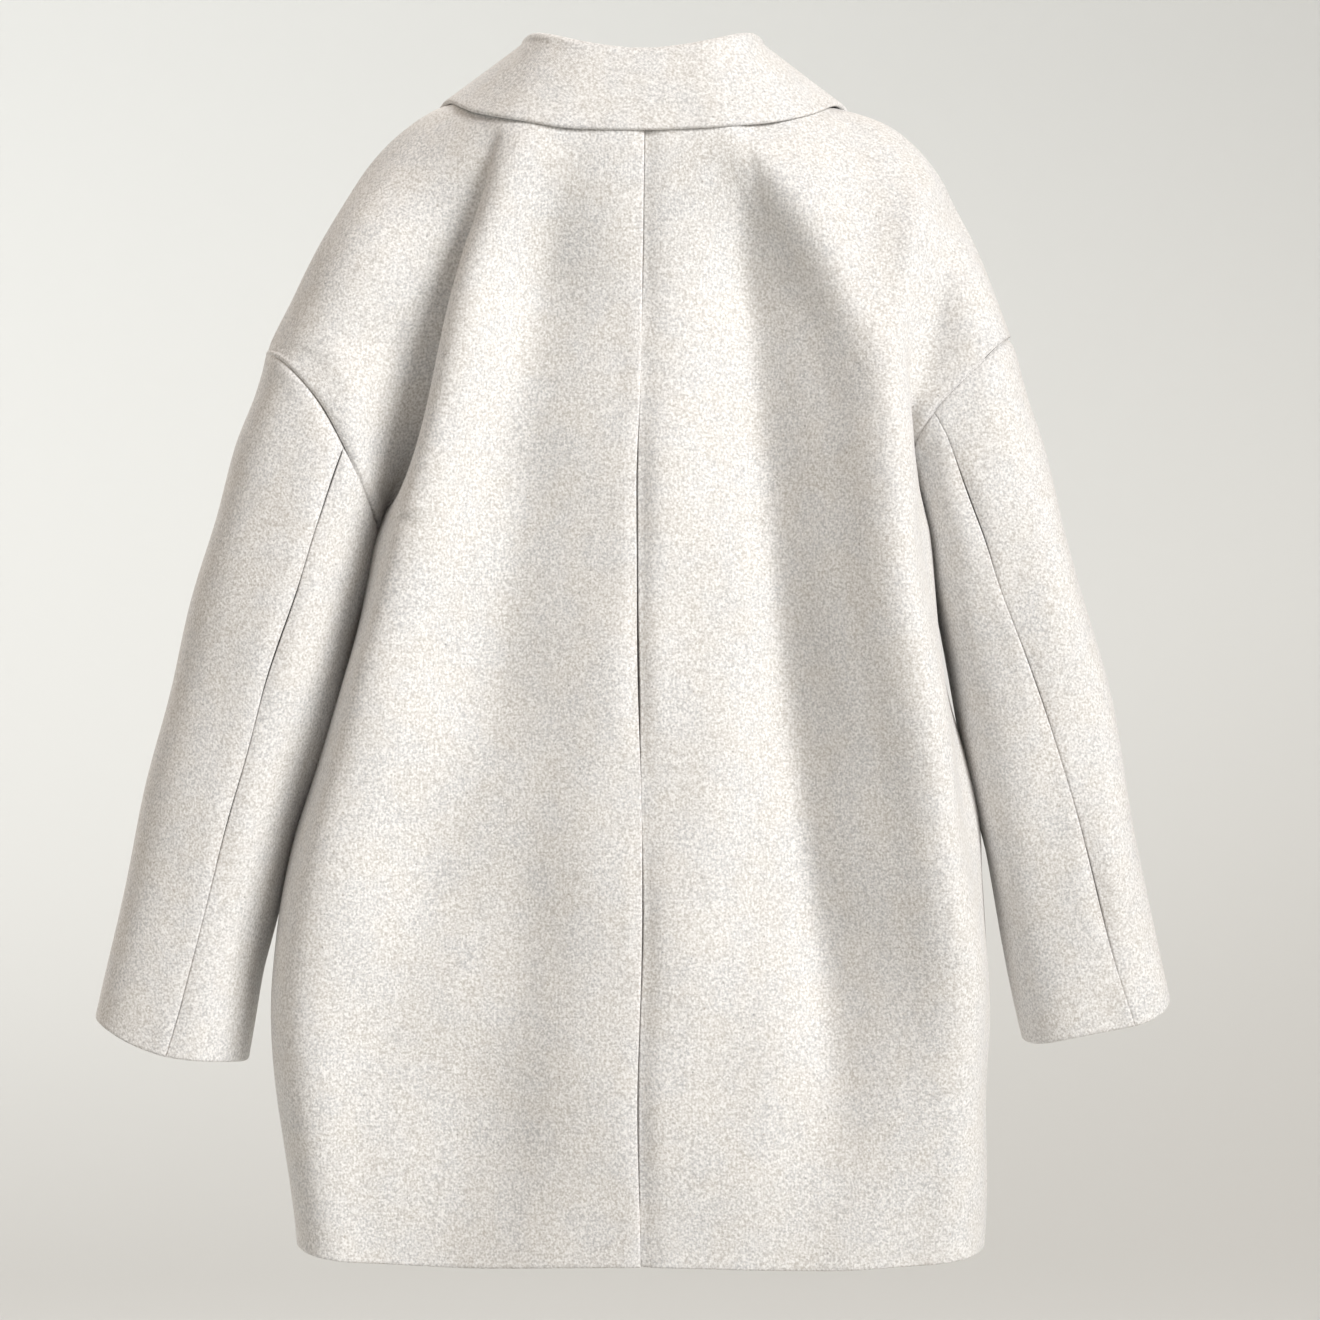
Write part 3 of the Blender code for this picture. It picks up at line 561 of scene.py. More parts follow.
def front_keys(side, row):
    """Key points from the side seam or trough in to the front edge."""
    rise = row["edge"] - row["front"]
    low = low_share(row)
    steeper = 1.0 + (FRONT_STEEPER[side] - 1.0) * low
    trough_share = NECK_SHARES[-1] + (BACK_SHARES[side][-1] - NECK_SHARES[-1]) * low
    if row["angle"] == math.pi:
        start = underarm(side)
    elif row["angle"] is None:
        start = side_line(side, row["edge"])
    else:
        start = chest_line(side, row["front"] + rise * trough_share)
    keys = [start]
    end_x = roll_x(row["front"])
    turn_x = start[0] * FRONT_TURN
    for across, share in FRONT_SHARES:
        x = turn_x + (end_x - turn_x) * across
        z = row["front"] + rise * share * steeper
        keys.append(np.array([x, front_depth(x, z, start[0]), z]))
    return keys


# %% Key points over the arm
ARM_SHARES = (0.4, 0.6, 0.8)      # key points as shares of the way to the seam
ARM_START = math.radians(125.0)   # innermost angle at which a row joins the arm's oval
ARM_EASE = 0.2                    # low rows join it this share of the way in from the seam
PAST_SEAM, PAST_FALL = 25.0, 0.2  # beyond the seam a row aims on by these degrees and this share of its rise


def arm_keys(side, row, inner, way):
    """Key points over the arm to its seam. way is 1 over the back and -1 over the front."""
    angle = row["angle"]
    lean = math.radians(SIDES[side]["lean"]) if row["up"] > 0.0 else 0.0
    half = ARM.at(side + "_half", inner[2])
    centre = ARM.at(side, inner[2]) - half
    start = math.acos(min(max((inner[0] - centre) / half, -1.0), 1.0))
    start = min(start, max(ARM_START, angle + ARM_EASE * (math.pi - angle)))
    keys = []
    for share in ARM_SHARES:
        turn = start + (angle - start) * share
        level = inner[2] + (row["edge"] - inner[2]) * share
        keys.append(arm_point(side, way * turn, max(level, armhole_level(side, turn))))
    return keys + [arm_point(side, way * angle + lean, row["edge"])]


def past_seam(side, row, inner, way):
    """A point beyond the armhole seam, so that a row crosses the seam instead of running along it."""
    level = row["edge"] + PAST_FALL * (row["edge"] - inner[2])
    return arm_point(side, way * (row["angle"] - math.radians(PAST_SEAM)), level)


# %% [markdown]
# Folds and creases. Heavy felted wool falls in a few broad folds. They could be sculpted, but a table can
# be read and changed. Each of its rows is one trough (height below 0) or ridge: where its line starts and
# ends, how far the line bows sideways, its height, how wide it is on its left and right, how sharp it is
# (the radius of its bottom or crest), and the levels between which it fades in and out. The main folds
# shape the rows. The small creases are pressed into the finished surface later.

# %% Folds of the back
FOLD_COLUMNS = "fold x_top x_low bow height wide_left wide_right radius z_top z_full z_fade z_low"
FOLDS = Table(FOLD_COLUMNS, [
    (1, 58, 121, -4, -31, 44, 50, 22, -20, -150, -330, -540),
    (1.5, 96, 190, 0, -21, 50, 95, 30, -300, -520, -720, -1000),
    (1.7, 76, 104, 0, -11, 90, 38, 16, -420, -560, -720, -1000),
    (2, -64, -148, 9, -41, 42, 56, 10, -12, -150, -560, -790),
])


def fold_height(folds, x, z):
    """Sum of the troughs and ridges of a table at some places."""
    total = np.zeros_like(x)
    for _, x_top, x_low, bow, height, left, right, radius, z_top, z_full, z_fade, z_low in folds.rows:
        run = np.clip((z_top - z) / (z_top - z_low), 0.0, 1.0)
        away = x - (x_top + (x_low - x_top) * run + bow * np.sin(math.pi * run))
        reach = blend(z_top, z_full, z) * (1.0 - blend(z_fade, z_low, z))
        wide = np.where(away > 0.0, left, right)
        total += height * reach * np.exp((radius - np.sqrt(away ** 2 + radius ** 2)) / wide)
    return total


# %% [markdown]
# Lines of cloth. The functions here give the dense points of one row. Both sides are drawn by the same code,
# with x counted outwards from the centre, and the wearer's right is then mirrored. Writing each side out on
# its own would double the code. The right front stands off a little where it lies over the left front and
# its lapel.

# %% Lines across the back
FOLD_MARGIN = 60.0     # width over which the main folds fade out towards the turn
SWAY_REACH = 70.0      # how far the centre seam's sway is felt to its sides

# Sway of the centre-back seam, which hangs slightly wavy.
SWAY = Table("z sway", [
    (8, -1.4),
    (-25, -1.4),
    (-210, 2.0),
    (-273, 4.0),
    (-350, 3.5),
    (-560, 0.0),
    (-700, 3.5),
    (-804, 1.4),
])


def back_line(side, row):
    """Dense points of a row of the back, with the main folds and the seam's sway."""
    inner = back_keys(side, row)
    if row["angle"] is None:
        keys = inner + front_keys(side, row)[1:3]
    elif row["angle"] == math.pi:
        keys = inner
    else:
        keys = inner + arm_keys(side, row, inner[-1], 1.0) + [past_seam(side, row, inner[-1], 1.0)]
    last = len(inner) if row["angle"] in (None, math.pi) else len(keys) - 1
    mirrored = keys[1] * np.array([-1.0, 1.0, 1.0])
    line = spline([mirrored] + keys, 1, last)
    turn_x = RIDGES[side].at("turn_x", line[:, 2])
    inside = blend(turn_x, turn_x - FOLD_MARGIN, line[:, 0])
    line[:, 0] *= SIDES[side]["sign"]
    line[:, 1] += fold_height(FOLDS, line[:, 0], line[:, 2]) * inside
    line[:, 0] += SWAY.at("sway", line[:, 2]) * np.exp(-(line[:, 0] / SWAY_REACH) ** 2)
    return line


# %% Lines across the front
CLOTH = 2.6            # thickness of the felted wool
LAYER = CLOTH + 1.0    # height of a piece that lies on another
FRONT_EASE = 0.6       # air between the two fronts
LIFT_SIDE = (40.0, 8.0)      # distances from the left front's edge between which the right one rises
LIFT_TOP = (-95.0, -160.0)   # levels between which it rises
LIFT_BREAK = (-26.0, 10.0)   # heights at the break between which it rises again, over the left lapel


def front_lift(side, x, z):
    """How far the right front stands off where it lies over the left."""
    if side == "left":
        return np.zeros_like(x)
    begin, end = LIFT_SIDE
    over = blend(OVERLAP + begin, OVERLAP + end, x) * blend(*LIFT_TOP, z)
    low, high = LIFT_BREAK
    return (LAYER + FRONT_EASE) * over * (1.0 + blend(BREAK_Z + low, BREAK_Z + high, z))


def front_line(side, row):
    """Dense points of a row of the front."""
    inner = front_keys(side, row)
    if row["angle"] is None:
        keys = back_keys(side, row)[2:4] + inner
        first = 2
    elif row["angle"] == math.pi:
        keys = inner
        first = 0
    else:
        keys = [past_seam(side, row, inner[0], -1.0)] + arm_keys(side, row, inner[0], -1.0)[::-1] + inner
        first = 1
    line = spline(keys, first, len(keys) - 1)
    line[:, 1] -= front_lift(side, line[:, 0], line[:, 2])
    line[:, 0] *= SIDES[side]["sign"]
    return line


# %% Panel grids
BACK_COLUMNS = 72
FRONT_COLUMNS = 72
EDGE_COLUMNS = 16      # columns beside an edge, where rows are evened less or not at all
EVEN_PASSES = 4
ROLL = (CLOTH + LAYER) / 2.0   # outer radius of the rolled edge where the lapel turns back
ROLL_FADE = 20.0       # height over which the roll begins, above the break

# Drop of the hem across the coat.
HEM_SWAY = Table("x drop", [
    (-250, -7),
    (-228, -3),
    (-195, 0.5),
    (-110, 3),
    (-40, 1),
    (0, 0),
    (40, 1),
    (120, 4),
    (195, 1),
    (225, -2.5),
    (250, -8),
])
HEM_SWAY_LEVELS = (-700, -804)


def hem_dropped(grid):
    """The hem hangs a little uneven, and its corners at the sides are drawn up."""
    drop = HEM_SWAY.at("drop", grid[..., 0]) * blend(*HEM_SWAY_LEVELS, grid[..., 2])
    grid[..., 2] -= drop
    return grid


def evened_rows(grid):
    """Even out small steps between rows, but leave the edges of the panel where they are."""
    away = np.minimum(np.arange(grid.shape[1]), np.arange(grid.shape[1])[::-1])
    weight = blend(EDGE_COLUMNS / 2, EDGE_COLUMNS, away)[None, :, None]
    for _ in range(EVEN_PASSES):
        middle = (grid[:-2] + 2.0 * grid[1:-1] + grid[2:]) / 4.0
        grid[1:-1] += (middle - grid[1:-1]) * weight
    return grid


def panel_grid(side, line_of, columns, trim=None):
    """Points of a panel, row by row. trim takes some of the length off the far end of a row."""
    rows = []
    for row in rows_of(side):
        line = line_of(side, row)
        run = run_of(line)
        cut = trim(row) if trim else 0.0
        rows.append(placed(line, spread(run[-1] - cut, columns), run))
    return hem_dropped(evened_rows(np.array(rows)))


def roll_trim(row):
    """The front panel stops short of the roll line, where the lapel's roll goes on from it."""
    return ROLL * blend(BREAK_Z, BREAK_Z + ROLL_FADE, row["front"])


grids = {}
for side in SIDES:
    grids["back_" + side] = panel_grid(side, back_line, BACK_COLUMNS)
    grids["front_" + side] = panel_grid(side, front_line, FRONT_COLUMNS, roll_trim)
print("panel grids", {name: grid.shape for name, grid in grids.items()})

# %% [markdown]
# Sleeves. A sleeve is a leaning, turning oval tube, cut in two pieces so that it can follow the arm. A
# curve with a bevel would give a tube, but no seams. So each piece is drawn ring by ring from the armhole
# to the cuff, between the angles of its two seams.

# %% Sleeve grids
SLEEVE_RINGS = 96
TOP_PIECE_COLUMNS = 64
UNDER_PIECE_COLUMNS = 38
SEAM_ANGLES = dict(top=(220.0, 460.0), under=(100.0, 220.0))   # of a piece's two seams, round the arm
RING_SAMPLES = 240
CUFF_WAVES = 3.0       # soft waves round the edge of the cuff
CUFF_WAVE = {"left": (1.8, 0.6), "right": (1.6, 2.2)}   # their height, and where they start

# Drift of the sleeve seams round the arm from armhole (0) to cuff (1), in degrees.
SEAM_DRIFT = Table("share left right", [
    (0.00, 13, 9),
    (0.12, 11, 13),
    (0.25, 8, 10),
    (0.40, 4, 5),
    (0.55, 7, 2),
    (0.70, 9, 0),
    (0.85, 8, 0),
    (1.00, 5, 0),
])


def sleeve_grid(side, piece, columns):
    """Points of one piece of a sleeve, ring by ring from the armhole."""
    arm = SIDES[side]
    twist = math.radians(arm["twist"])
    start, end = SEAM_ANGLES[piece]
    angle = np.radians(np.linspace(start, end, RING_SAMPLES))
    top = armhole_level(side, angle + math.radians(SEAM_DRIFT.at(side, 0.0)))
    low = arm["cuff"] + arm["tilt"] * np.cos(angle + twist) - arm["drop"] * np.sin(angle + twist)
    wave, phase = CUFF_WAVE[side]
    low += wave * np.sin(CUFF_WAVES * (angle + twist) + phase)
    length = float(np.mean(top - low))
    rows = []
    for t in spread(length, SLEEVE_RINGS) / length:
        drift = math.radians(SEAM_DRIFT.at(side, t))
        ring = arm_point(side, angle + twist * t + drift, top + (low - top) * t)
        ring[:, 0] *= arm["sign"]
        run = run_of(ring)
        rows.append(placed(ring, spread(run[-1], columns), run))
    return np.array(rows)


for side in SIDES:
    grids["sleeve_" + side + "_top"] = sleeve_grid(side, "top", TOP_PIECE_COLUMNS)
    grids["sleeve_" + side + "_under"] = sleeve_grid(side, "under", UNDER_PIECE_COLUMNS)
print("sleeve grids", {name: grid.shape for name, grid in grids.items() if "sleeve" in name})

# %% [markdown]
# From a grid of points to cloth. Each piece becomes a closed shell: the outer face, an inner face a cloth's
# thickness away, and rims between them. A Solidify modifier would give the same thickness everywhere. Here
# the depth of each face depends on the distance from an edge: a seam dips softly and then turns sharply in,
# a folded edge is round, and a hem has a second layer inside.

# %% Distances and directions
# Depth of the soft dip along a seam, its reach, the radius of the cloth's turn into the seam, and the half
# width of the groove's floor. Panels and sleeves join in a deep seam. The centre seam is pressed to the
# left, so its right is lower.
SEAM_DIPS = {
    "seam": (0.9, 4.5, 1.4, 0.0),
    "deep": (1.3, 4.5, 2.2, 0.45),
    "centre_left": (1.4, 6.0, 1.4, 0.0),
    "centre_right": (4.0, 9.0, 1.4, 0.0),
}
CALM = 6               # columns along a seam that take their direction from further in


def distances(grid):
    """Distance of each point from the four edges of a grid: first and last column, first and last row."""
    across = np.linalg.norm(np.diff(grid, axis=1), axis=2)
    along = np.linalg.norm(np.diff(grid, axis=0), axis=2)
    across = np.concatenate([np.zeros((grid.shape[0], 1)), np.cumsum(across, axis=1)], axis=1)
    along = np.concatenate([np.zeros((1, grid.shape[1])), np.cumsum(along, axis=0)], axis=0)
    return across, across[:, -1:] - across, along, along[-1:] - along


def normals_of(grid, flip, edges):
    """Direction out of the cloth at each point. Along a seam it is that of the cloth just inside."""
    normal = np.cross(np.gradient(grid, axis=1), np.gradient(grid, axis=0))
    normal /= np.linalg.norm(normal, axis=2, keepdims=True)
    if edges[0] in SEAM_DIPS:
        normal[:, :CALM] = normal[:, CALM:CALM + 1]
    if edges[1] in SEAM_DIPS:
        normal[:, -CALM:] = normal[:, -CALM - 1:-CALM]
    return -normal if flip else normal


# %% Depth at the edges
HEM_WIDTH = 38.0       # depth of the turned-up hem
HEM_LAYER = 2.2        # thickness that it adds inside
HEM_STEP = 2.0         # width of the step where it ends
RIM = 0.15             # half height of the narrow rim at the middle of a folded edge


def turned(radius, distance):
    """Depth of a quarter-round edge at a distance from it."""
    short = np.clip(radius - distance, 0.0, radius)
    return radius - np.sqrt(np.maximum(radius ** 2 - short ** 2, 0.0))


def shell_depths(grid, edges, thickness):
    """Depth of the outer and the inner face under a grid's surface."""
    outer_turn = np.zeros(grid.shape[:2])
    inner_turn = np.zeros(grid.shape[:2])
    soft = np.zeros(grid.shape[:2])
    thick = np.full(grid.shape[:2], thickness)
    for distance, style in zip(distances(grid), edges):
        if style == "hem":
            thick += HEM_LAYER * (1.0 - blend(HEM_WIDTH - HEM_STEP, HEM_WIDTH, distance))
    for distance, style in zip(distances(grid), edges):
        if style in SEAM_DIPS:
            dip, reach, radius, floor_half = SEAM_DIPS[style]
            soft += dip * np.exp(-(distance / reach) ** 2)
            outer_turn = np.maximum(outer_turn, turned(radius, distance - floor_half))
        elif style in ("hem", "fold"):
            half = thick / 2.0
            turn = turned(half, distance) * (1.0 - RIM / half)
            outer_turn = np.maximum(outer_turn, turn)
            inner_turn = np.maximum(inner_turn, turn)
    return soft + outer_turn, soft + thick - inner_turn


# %% Shell of cloth
SHARP_TURN = math.radians(60.0)


def grid_faces(rows, columns, offset, flip):
    """Faces between the points of a grid."""
    i, j = np.meshgrid(np.arange(rows - 1), np.arange(columns - 1), indexing="ij")
    a = offset + i * columns + j
    quads = np.stack([a, a + 1, a + columns + 1, a + columns], axis=-1).reshape(-1, 4)
    return quads[:, ::-1] if flip else quads


def rim_faces(rows, columns, flip):
    """Faces that join the edges of the outer face to those of the inner one."""
    index = np.arange(rows * columns).reshape(rows, columns)
    loop = np.concatenate([index[0, :-1], index[:-1, -1], index[-1, :0:-1], index[:0:-1, 0]])
    after = np.roll(loop, -1)
    inner = rows * columns
    quads = np.stack([after, loop, loop + inner, after + inner], axis=-1)
    return quads[:, ::-1] if flip else quads


def set_places(mesh, layer_name, places):
    """Keep each point's place on the flat cloth or thread, in metres, as a UV map."""
    corner = np.empty(len(mesh.loops), dtype=np.int32)
    mesh.loops.foreach_get("vertex_index", corner)
    layer = mesh.uv_layers.new(name=layer_name)
    layer.uv.foreach_set("vector", places[corner].astype(np.float32).ravel())


def shell_mesh(name, grid, edges, flip, thickness=CLOTH):
    """A closed shell on a grid. edges are the styles of its first and last column, first and last row."""
    rows, columns = grid.shape[:2]
    normal = normals_of(grid, flip, edges)
    outer_depth, inner_depth = shell_depths(grid, edges, thickness)
    outer = grid - normal * outer_depth[..., None]
    inner = grid - normal * inner_depth[..., None]
    points = np.concatenate([outer.reshape(-1, 3), inner.reshape(-1, 3)]) * MM
    faces = np.concatenate([
        grid_faces(rows, columns, 0, flip),
        grid_faces(rows, columns, rows * columns, not flip),
        rim_faces(rows, columns, flip),
    ])
    mesh = bpy.data.meshes.new(name)
    mesh.from_pydata(points.tolist(), [], faces.tolist())
    across, _, along, _ = distances(grid)
    flat = np.stack([across, along], axis=-1).reshape(-1, 2) * MM
    set_places(mesh, "cloth", np.concatenate([flat, flat]))
    mesh.shade_smooth()
    mesh.set_sharp_from_angle(angle=SHARP_TURN)
    return mesh


# %% [markdown]
# Pressing in the small creases. Moving points straight back would smear a crease on the rounded shoulder,
# so they are added along the surface's own direction. Very soft waves go with them, because worn cloth is
# nowhere quite even. Both fade out towards the seams, where the pieces meet, and round the buttons.

# %% Creases
# Small creases of the back, then of the front, in the same columns as the folds.
CREASES = Table(FOLD_COLUMNS, [
    (1, -70, -84, 2, -2.6, 5, 12, 2, -18, -34, -50, -110),
    (2, 101, 124, -2, -3.0, 9, 6, 3, -24, -40, -70, -130),
    (3, -195, -165, 4, 7.0, 12, 12, 6, -45, -100, -160, -230),
    (3.5, -226, -189, 3, -8.0, 12, 12, 6, -50, -105, -160, -230),
    (4, 20, 44, 8, 1.6, 30, 24, 12, -330, -430, -540, -700),
    (5, -150, -190, 6, -1.8, 22, 30, 12, -420, -520, -600, -760),
    (6, 150, 196, -6, -1.6, 26, 22, 12, -430, -520, -640, -780),
    (7, -30, -44, -5, 1.4, 20, 28, 12, -560, -640, -700, -800),
])
FRONT_CREASES = Table(FOLD_COLUMNS, [
    (1, 128, 158, 6, -7, 26, 16, 10, -215, -330, -700, -1000),
    (2, -124, -150, -8, -7.5, 16, 26, 10, -210, -330, -690, -1000),
    (3, 152, 130, -3, -3.5, 10, 12, 5, -110, -160, -200, -250),
    (4, -152, -128, 4, -4, 12, 10, 5, -110, -158, -205, -255),
    (5, 196, 188, 5, 3, 22, 26, 10, -420, -520, -620, -780),
    (6, -190, -176, -5, 3, 22, 26, 10, -400, -480, -600, -760),
])
CREASE_MARGIN = 14.0   # width over which they fade out at a seam
BUTTON_GROUND = (80.0, 105.0)   # distances from the centre front between which its creases begin
UNEVEN = 0.8           # height of the soft waves
WAVE_SLANT = 0.6       # how far the waves also run from back to front

# Lengths of the waves across and along the coat, and where they start.
WAVES = ((110.0, 270.0, 0.0), (190.0, -150.0, 1.3), (75.0, 420.0, 2.1))


def unevenness(grid):
    """Height of the soft waves."""
    across, along = grid[..., 0] + WAVE_SLANT * grid[..., 1], grid[..., 2]
    turn = 2.0 * math.pi
    return UNEVEN * sum(np.sin(turn * (across / a + along / b) + start) for a, b, start in WAVES)


for name, grid in grids.items():
    height = unevenness(grid)
    first_column, last_column, first_row, last_row = distances(grid)
    edge = np.minimum(first_column, last_column)
    if name.startswith("sleeve"):
        edge = np.minimum(edge, first_row)
    else:
        folds = CREASES if name.startswith("back") else FRONT_CREASES
        height += fold_height(folds, grid[..., 0], grid[..., 2])
        edge = np.minimum(edge, last_row)
    height *= blend(0.0, CREASE_MARGIN, edge)
    if name.startswith("front"):
        height *= blend(*BUTTON_GROUND, np.abs(grid[..., 0]))
    grids[name] = grid + normals_of(grid, "left" in name, ("seam", "seam")) * height[..., None]
    print("creases of", name, "from", round(height.min(), 1), "to", round(height.max(), 1), "mm")

# %% [markdown]
# Felted wool is a woven cloth that has been milled until its fibres tangle into a soft nap. To the eye it
# is matt, with a faint lighter bloom at grazing angles. This one is a mixture of ecru, beige and grey
# fibres, so it is mottled at one or two millimetres, with a few dark neps. The weave shows only as a faint
# grid of relief, with faint painted shade in its grooves. Hair could make the nap, but it would take
# millions of strands, so a fine bump and the shader's sheen stand for it.

# %% Patterns of the wool
WEAVE_MM = 2.3         # real yarns lie about 1.1 mm apart: drawn wider, so that they show in the render
MOTTLE_MM = 1.7        # clumps of fibres
FIBRE_MM = 1.3         # streaks: single fibres are far finer, and would not show
CLOUD_MM = 26.0        # drift of the mixture across the cloth
WAVE_RATE = 20.0       # Blender's wave texture goes through this many radians in one unit


def wave_scale(spacing_mm):
    """Scale at which a wave texture has one band to each spacing."""
    return 2.0 * math.pi / (spacing_mm * MM) / WAVE_RATE


def wool_patterns(tree, flat, solid):
    """Outputs of the patterns that place the colours and the relief."""
    mottle = add_node(tree, "TexNoise", {
        "Vector": solid, "Scale": 1.0 / (MOTTLE_MM * MM), "Detail": 2.0, "Roughness": 0.6})
    cloud = add_node(tree, "TexNoise", {"Vector": solid, "Scale": 1.0 / (CLOUD_MM * MM), "Detail": 2.0})
    stretch = add_node(tree, "Mapping", {"Vector": flat, "Scale": (1.0, 0.4, 1.0)})
    fibre = add_node(tree, "TexNoise", {
        "Vector": stretch.outputs["Vector"], "Scale": 1.0 / (FIBRE_MM * MM), "Detail": 2.0})
    warp, weft = [
        add_node(tree, "TexWave", {
            "Vector": flat, "Scale": wave_scale(WEAVE_MM), "Distortion": 2.5, "Detail": 1.0},
            bands_direction=direction)
        for direction in ("X", "Y")]
    weave = add_node(tree, "Math", {0: warp.outputs["Fac"], 1: weft.outputs["Fac"]}, operation="MULTIPLY")
    return dict(mottle=mottle.outputs["Fac"], cloud=cloud.outputs["Fac"], fibre=fibre.outputs["Fac"],
                weave=weave.outputs["Value"])


# %% Colours of the wool
# Tints over the ecru ground, and faint painted shade in the grooves of the weave: the pattern that places
# each, the range of the pattern over which it comes or goes, and its share at both ends of that range.
TINTS_AND_WEAVE_SHADE = (
    ("mottle", (0.33, 0.64), (1.0, 0.0)),
    ("fibre", (0.5, 0.75), (0.0, 0.5)),
    # The weave's row darkens the cloth where the weave's relief is low: painted shade between the yarns.
    ("weave", (0.0, 0.6), (0.03, 0.0)),
)
NEP_CELL_MM = 7.0      # each cell of this size may hold a nep
NEP_CHANCE = 0.25      # share of the cells that do
NEP_SHARE = 0.6        # how far a nep covers the colour under it


def wool_colour(tree, patterns):
    """Output of the mixed ecru, grey and beige: the greys are cool in places and warm in others."""
    warm = add_node(tree, "MapRange", {
        "Value": patterns["cloud"], "From Min": 0.38, "From Max": 0.62, "To Min": 0.0, "To Max": 1.0})
    grey = add_node(tree, "Mix", {
        0: warm.outputs["Result"], 6: linear("#BDBDBE"), 7: linear("#C2BEB9")}, data_type="RGBA")
    # The weave's dark colour is painted shade between the yarns, not a colour of the wool.
    tint_and_shade_colours = dict(mottle=grey.outputs[2], fibre=linear("#BDB7B1"), weave=linear("#A9A39B"))
    colour = linear("#F2F1F0")
    for name, span, shares in TINTS_AND_WEAVE_SHADE:
        share = add_node(tree, "MapRange", {
            "Value": patterns[name], "From Min": span[0], "From Max": span[1],
            "To Min": shares[0], "To Max": shares[1]})
        tinted = add_node(tree, "Mix", {
            0: share.outputs["Result"], 6: colour, 7: tint_and_shade_colours[name]}, data_type="RGBA")
        colour = tinted.outputs[2]
    return colour


def with_neps(tree, solid, colour):
    """Output of the colour with a few neps on it, small dark knots of fibre."""
    cell = add_node(tree, "TexVoronoi", {"Vector": solid, "Scale": 1.0 / (NEP_CELL_MM * MM)})
    spot = add_node(tree, "MapRange", {
        "Value": cell.outputs["Distance"], "From Min": 0.04, "From Max": 0.12, "To Min": 1.0, "To Max": 0.0})
    chance = add_node(tree, "SeparateColor", {"Color": cell.outputs["Color"]})
    chosen = add_node(tree, "Math", {0: chance.outputs["Red"], 1: NEP_CHANCE}, operation="LESS_THAN")
    share = add_node(tree, "Math", {
        0: spot.outputs["Result"], 1: chosen.outputs["Value"]}, operation="MULTIPLY")
    soft = add_node(tree, "Math", {0: share.outputs["Value"], 1: NEP_SHARE}, operation="MULTIPLY")
    dark = add_node(tree, "Mix", {
        0: chance.outputs["Green"], 6: linear("#5E6068"), 7: linear("#8A7663")}, data_type="RGBA")
    mixed = add_node(tree, "Mix", {
        0: soft.outputs["Value"], 6: colour, 7: dark.outputs[2]}, data_type="RGBA")
    return mixed.outputs[2]


# %% Wool
def make_wool():
    """Felted wool: matt and mottled, with a soft nap in the bump and a pale bloom from the sheen."""
    wool, tree, shader = new_material("felted_wool_melange")
    flat = add_node(tree, "TexCoord").outputs["UV"]
    solid = add_node(tree, "TexCoord").outputs["Object"]
    patterns = wool_patterns(tree, flat, solid)
    tree.links.new(with_neps(tree, solid, wool_colour(tree, patterns)), shader.inputs["Base Color"])

    nap = add_node(tree, "Math", {0: patterns["mottle"], 1: patterns["fibre"]}, operation="ADD")
    faint = add_node(tree, "Math", {0: patterns["weave"], 1: 0.25}, operation="MULTIPLY")
    relief = add_node(tree, "Math", {0: nap.outputs["Value"], 1: faint.outputs["Value"]}, operation="ADD")
    bump = add_node(tree, "Bump", {"Height": relief.outputs["Value"], "Strength": 0.35, "Distance": 0.0007})
    tree.links.new(bump.outputs["Normal"], shader.inputs["Normal"])
    rough = add_node(tree, "MapRange", {
        "Value": patterns["fibre"], "From Min": 0.3, "From Max": 0.7, "To Min": 0.86, "To Max": 0.98})
    tree.links.new(rough.outputs["Result"], shader.inputs["Roughness"])
    shader.inputs["Specular IOR Level"].default_value = 0.25
    shader.inputs["Sheen Weight"].default_value = 0.3
    shader.inputs["Sheen Roughness"].default_value = 0.55
    shader.inputs["Sheen Tint"].default_value = linear("#F4F2EE")
    return wool


wool = make_wool()
print(wool.name, "has", len(wool.node_tree.nodes), "nodes")

# %% [markdown]
# Sewing the pieces. On the real coat they are stitched together. One joined mesh would look the same, but
# each piece is kept as a sheet of cloth of its own, which rides on the coat's one body and takes the place
# of its solid. Its flat cut is its measured size plus the seam allowances and the hem.

# %% Panels and sleeves
SEAM_ALLOWANCE = 10.0
EDGE_STYLES = {
    "back_left": ("centre_left", "deep", "hem", "seam"),
    "back_right": ("centre_right", "deep", "hem", "seam"),
    "front": ("deep", "fold", "hem", "seam"),
    "sleeve": ("seam", "seam", "deep", "hem"),
    "collar": ("fold", "fold", "fold", "seam"),
    "lapel": ("plain", "fold", "fold", "fold"),
}


def cut_size(grid, edges):
    """Width, length and area of the flat cut in metres, with allowances."""
    across, _, along, _ = distances(grid)
    extra = {"hem": HEM_WIDTH, "plain": 0.0}
    margins = [extra.get(style, SEAM_ALLOWANCE) for style in edges]
    width = across.max() + margins[0] + margins[1]
    length = along.max() + margins[2] + margins[3]
    sides = np.cross(grid[1:, :-1] - grid[:-1, 1:], grid[1:, 1:] - grid[:-1, :-1])
    area = np.linalg.norm(sides, axis=2).sum() / 2.0
    area *= (1.0 + (margins[0] + margins[1]) / across.max()) * (1.0 + (margins[2] + margins[3]) / along.max())
    return (width * MM, length * MM), min(area * MM * MM, width * length * MM * MM)


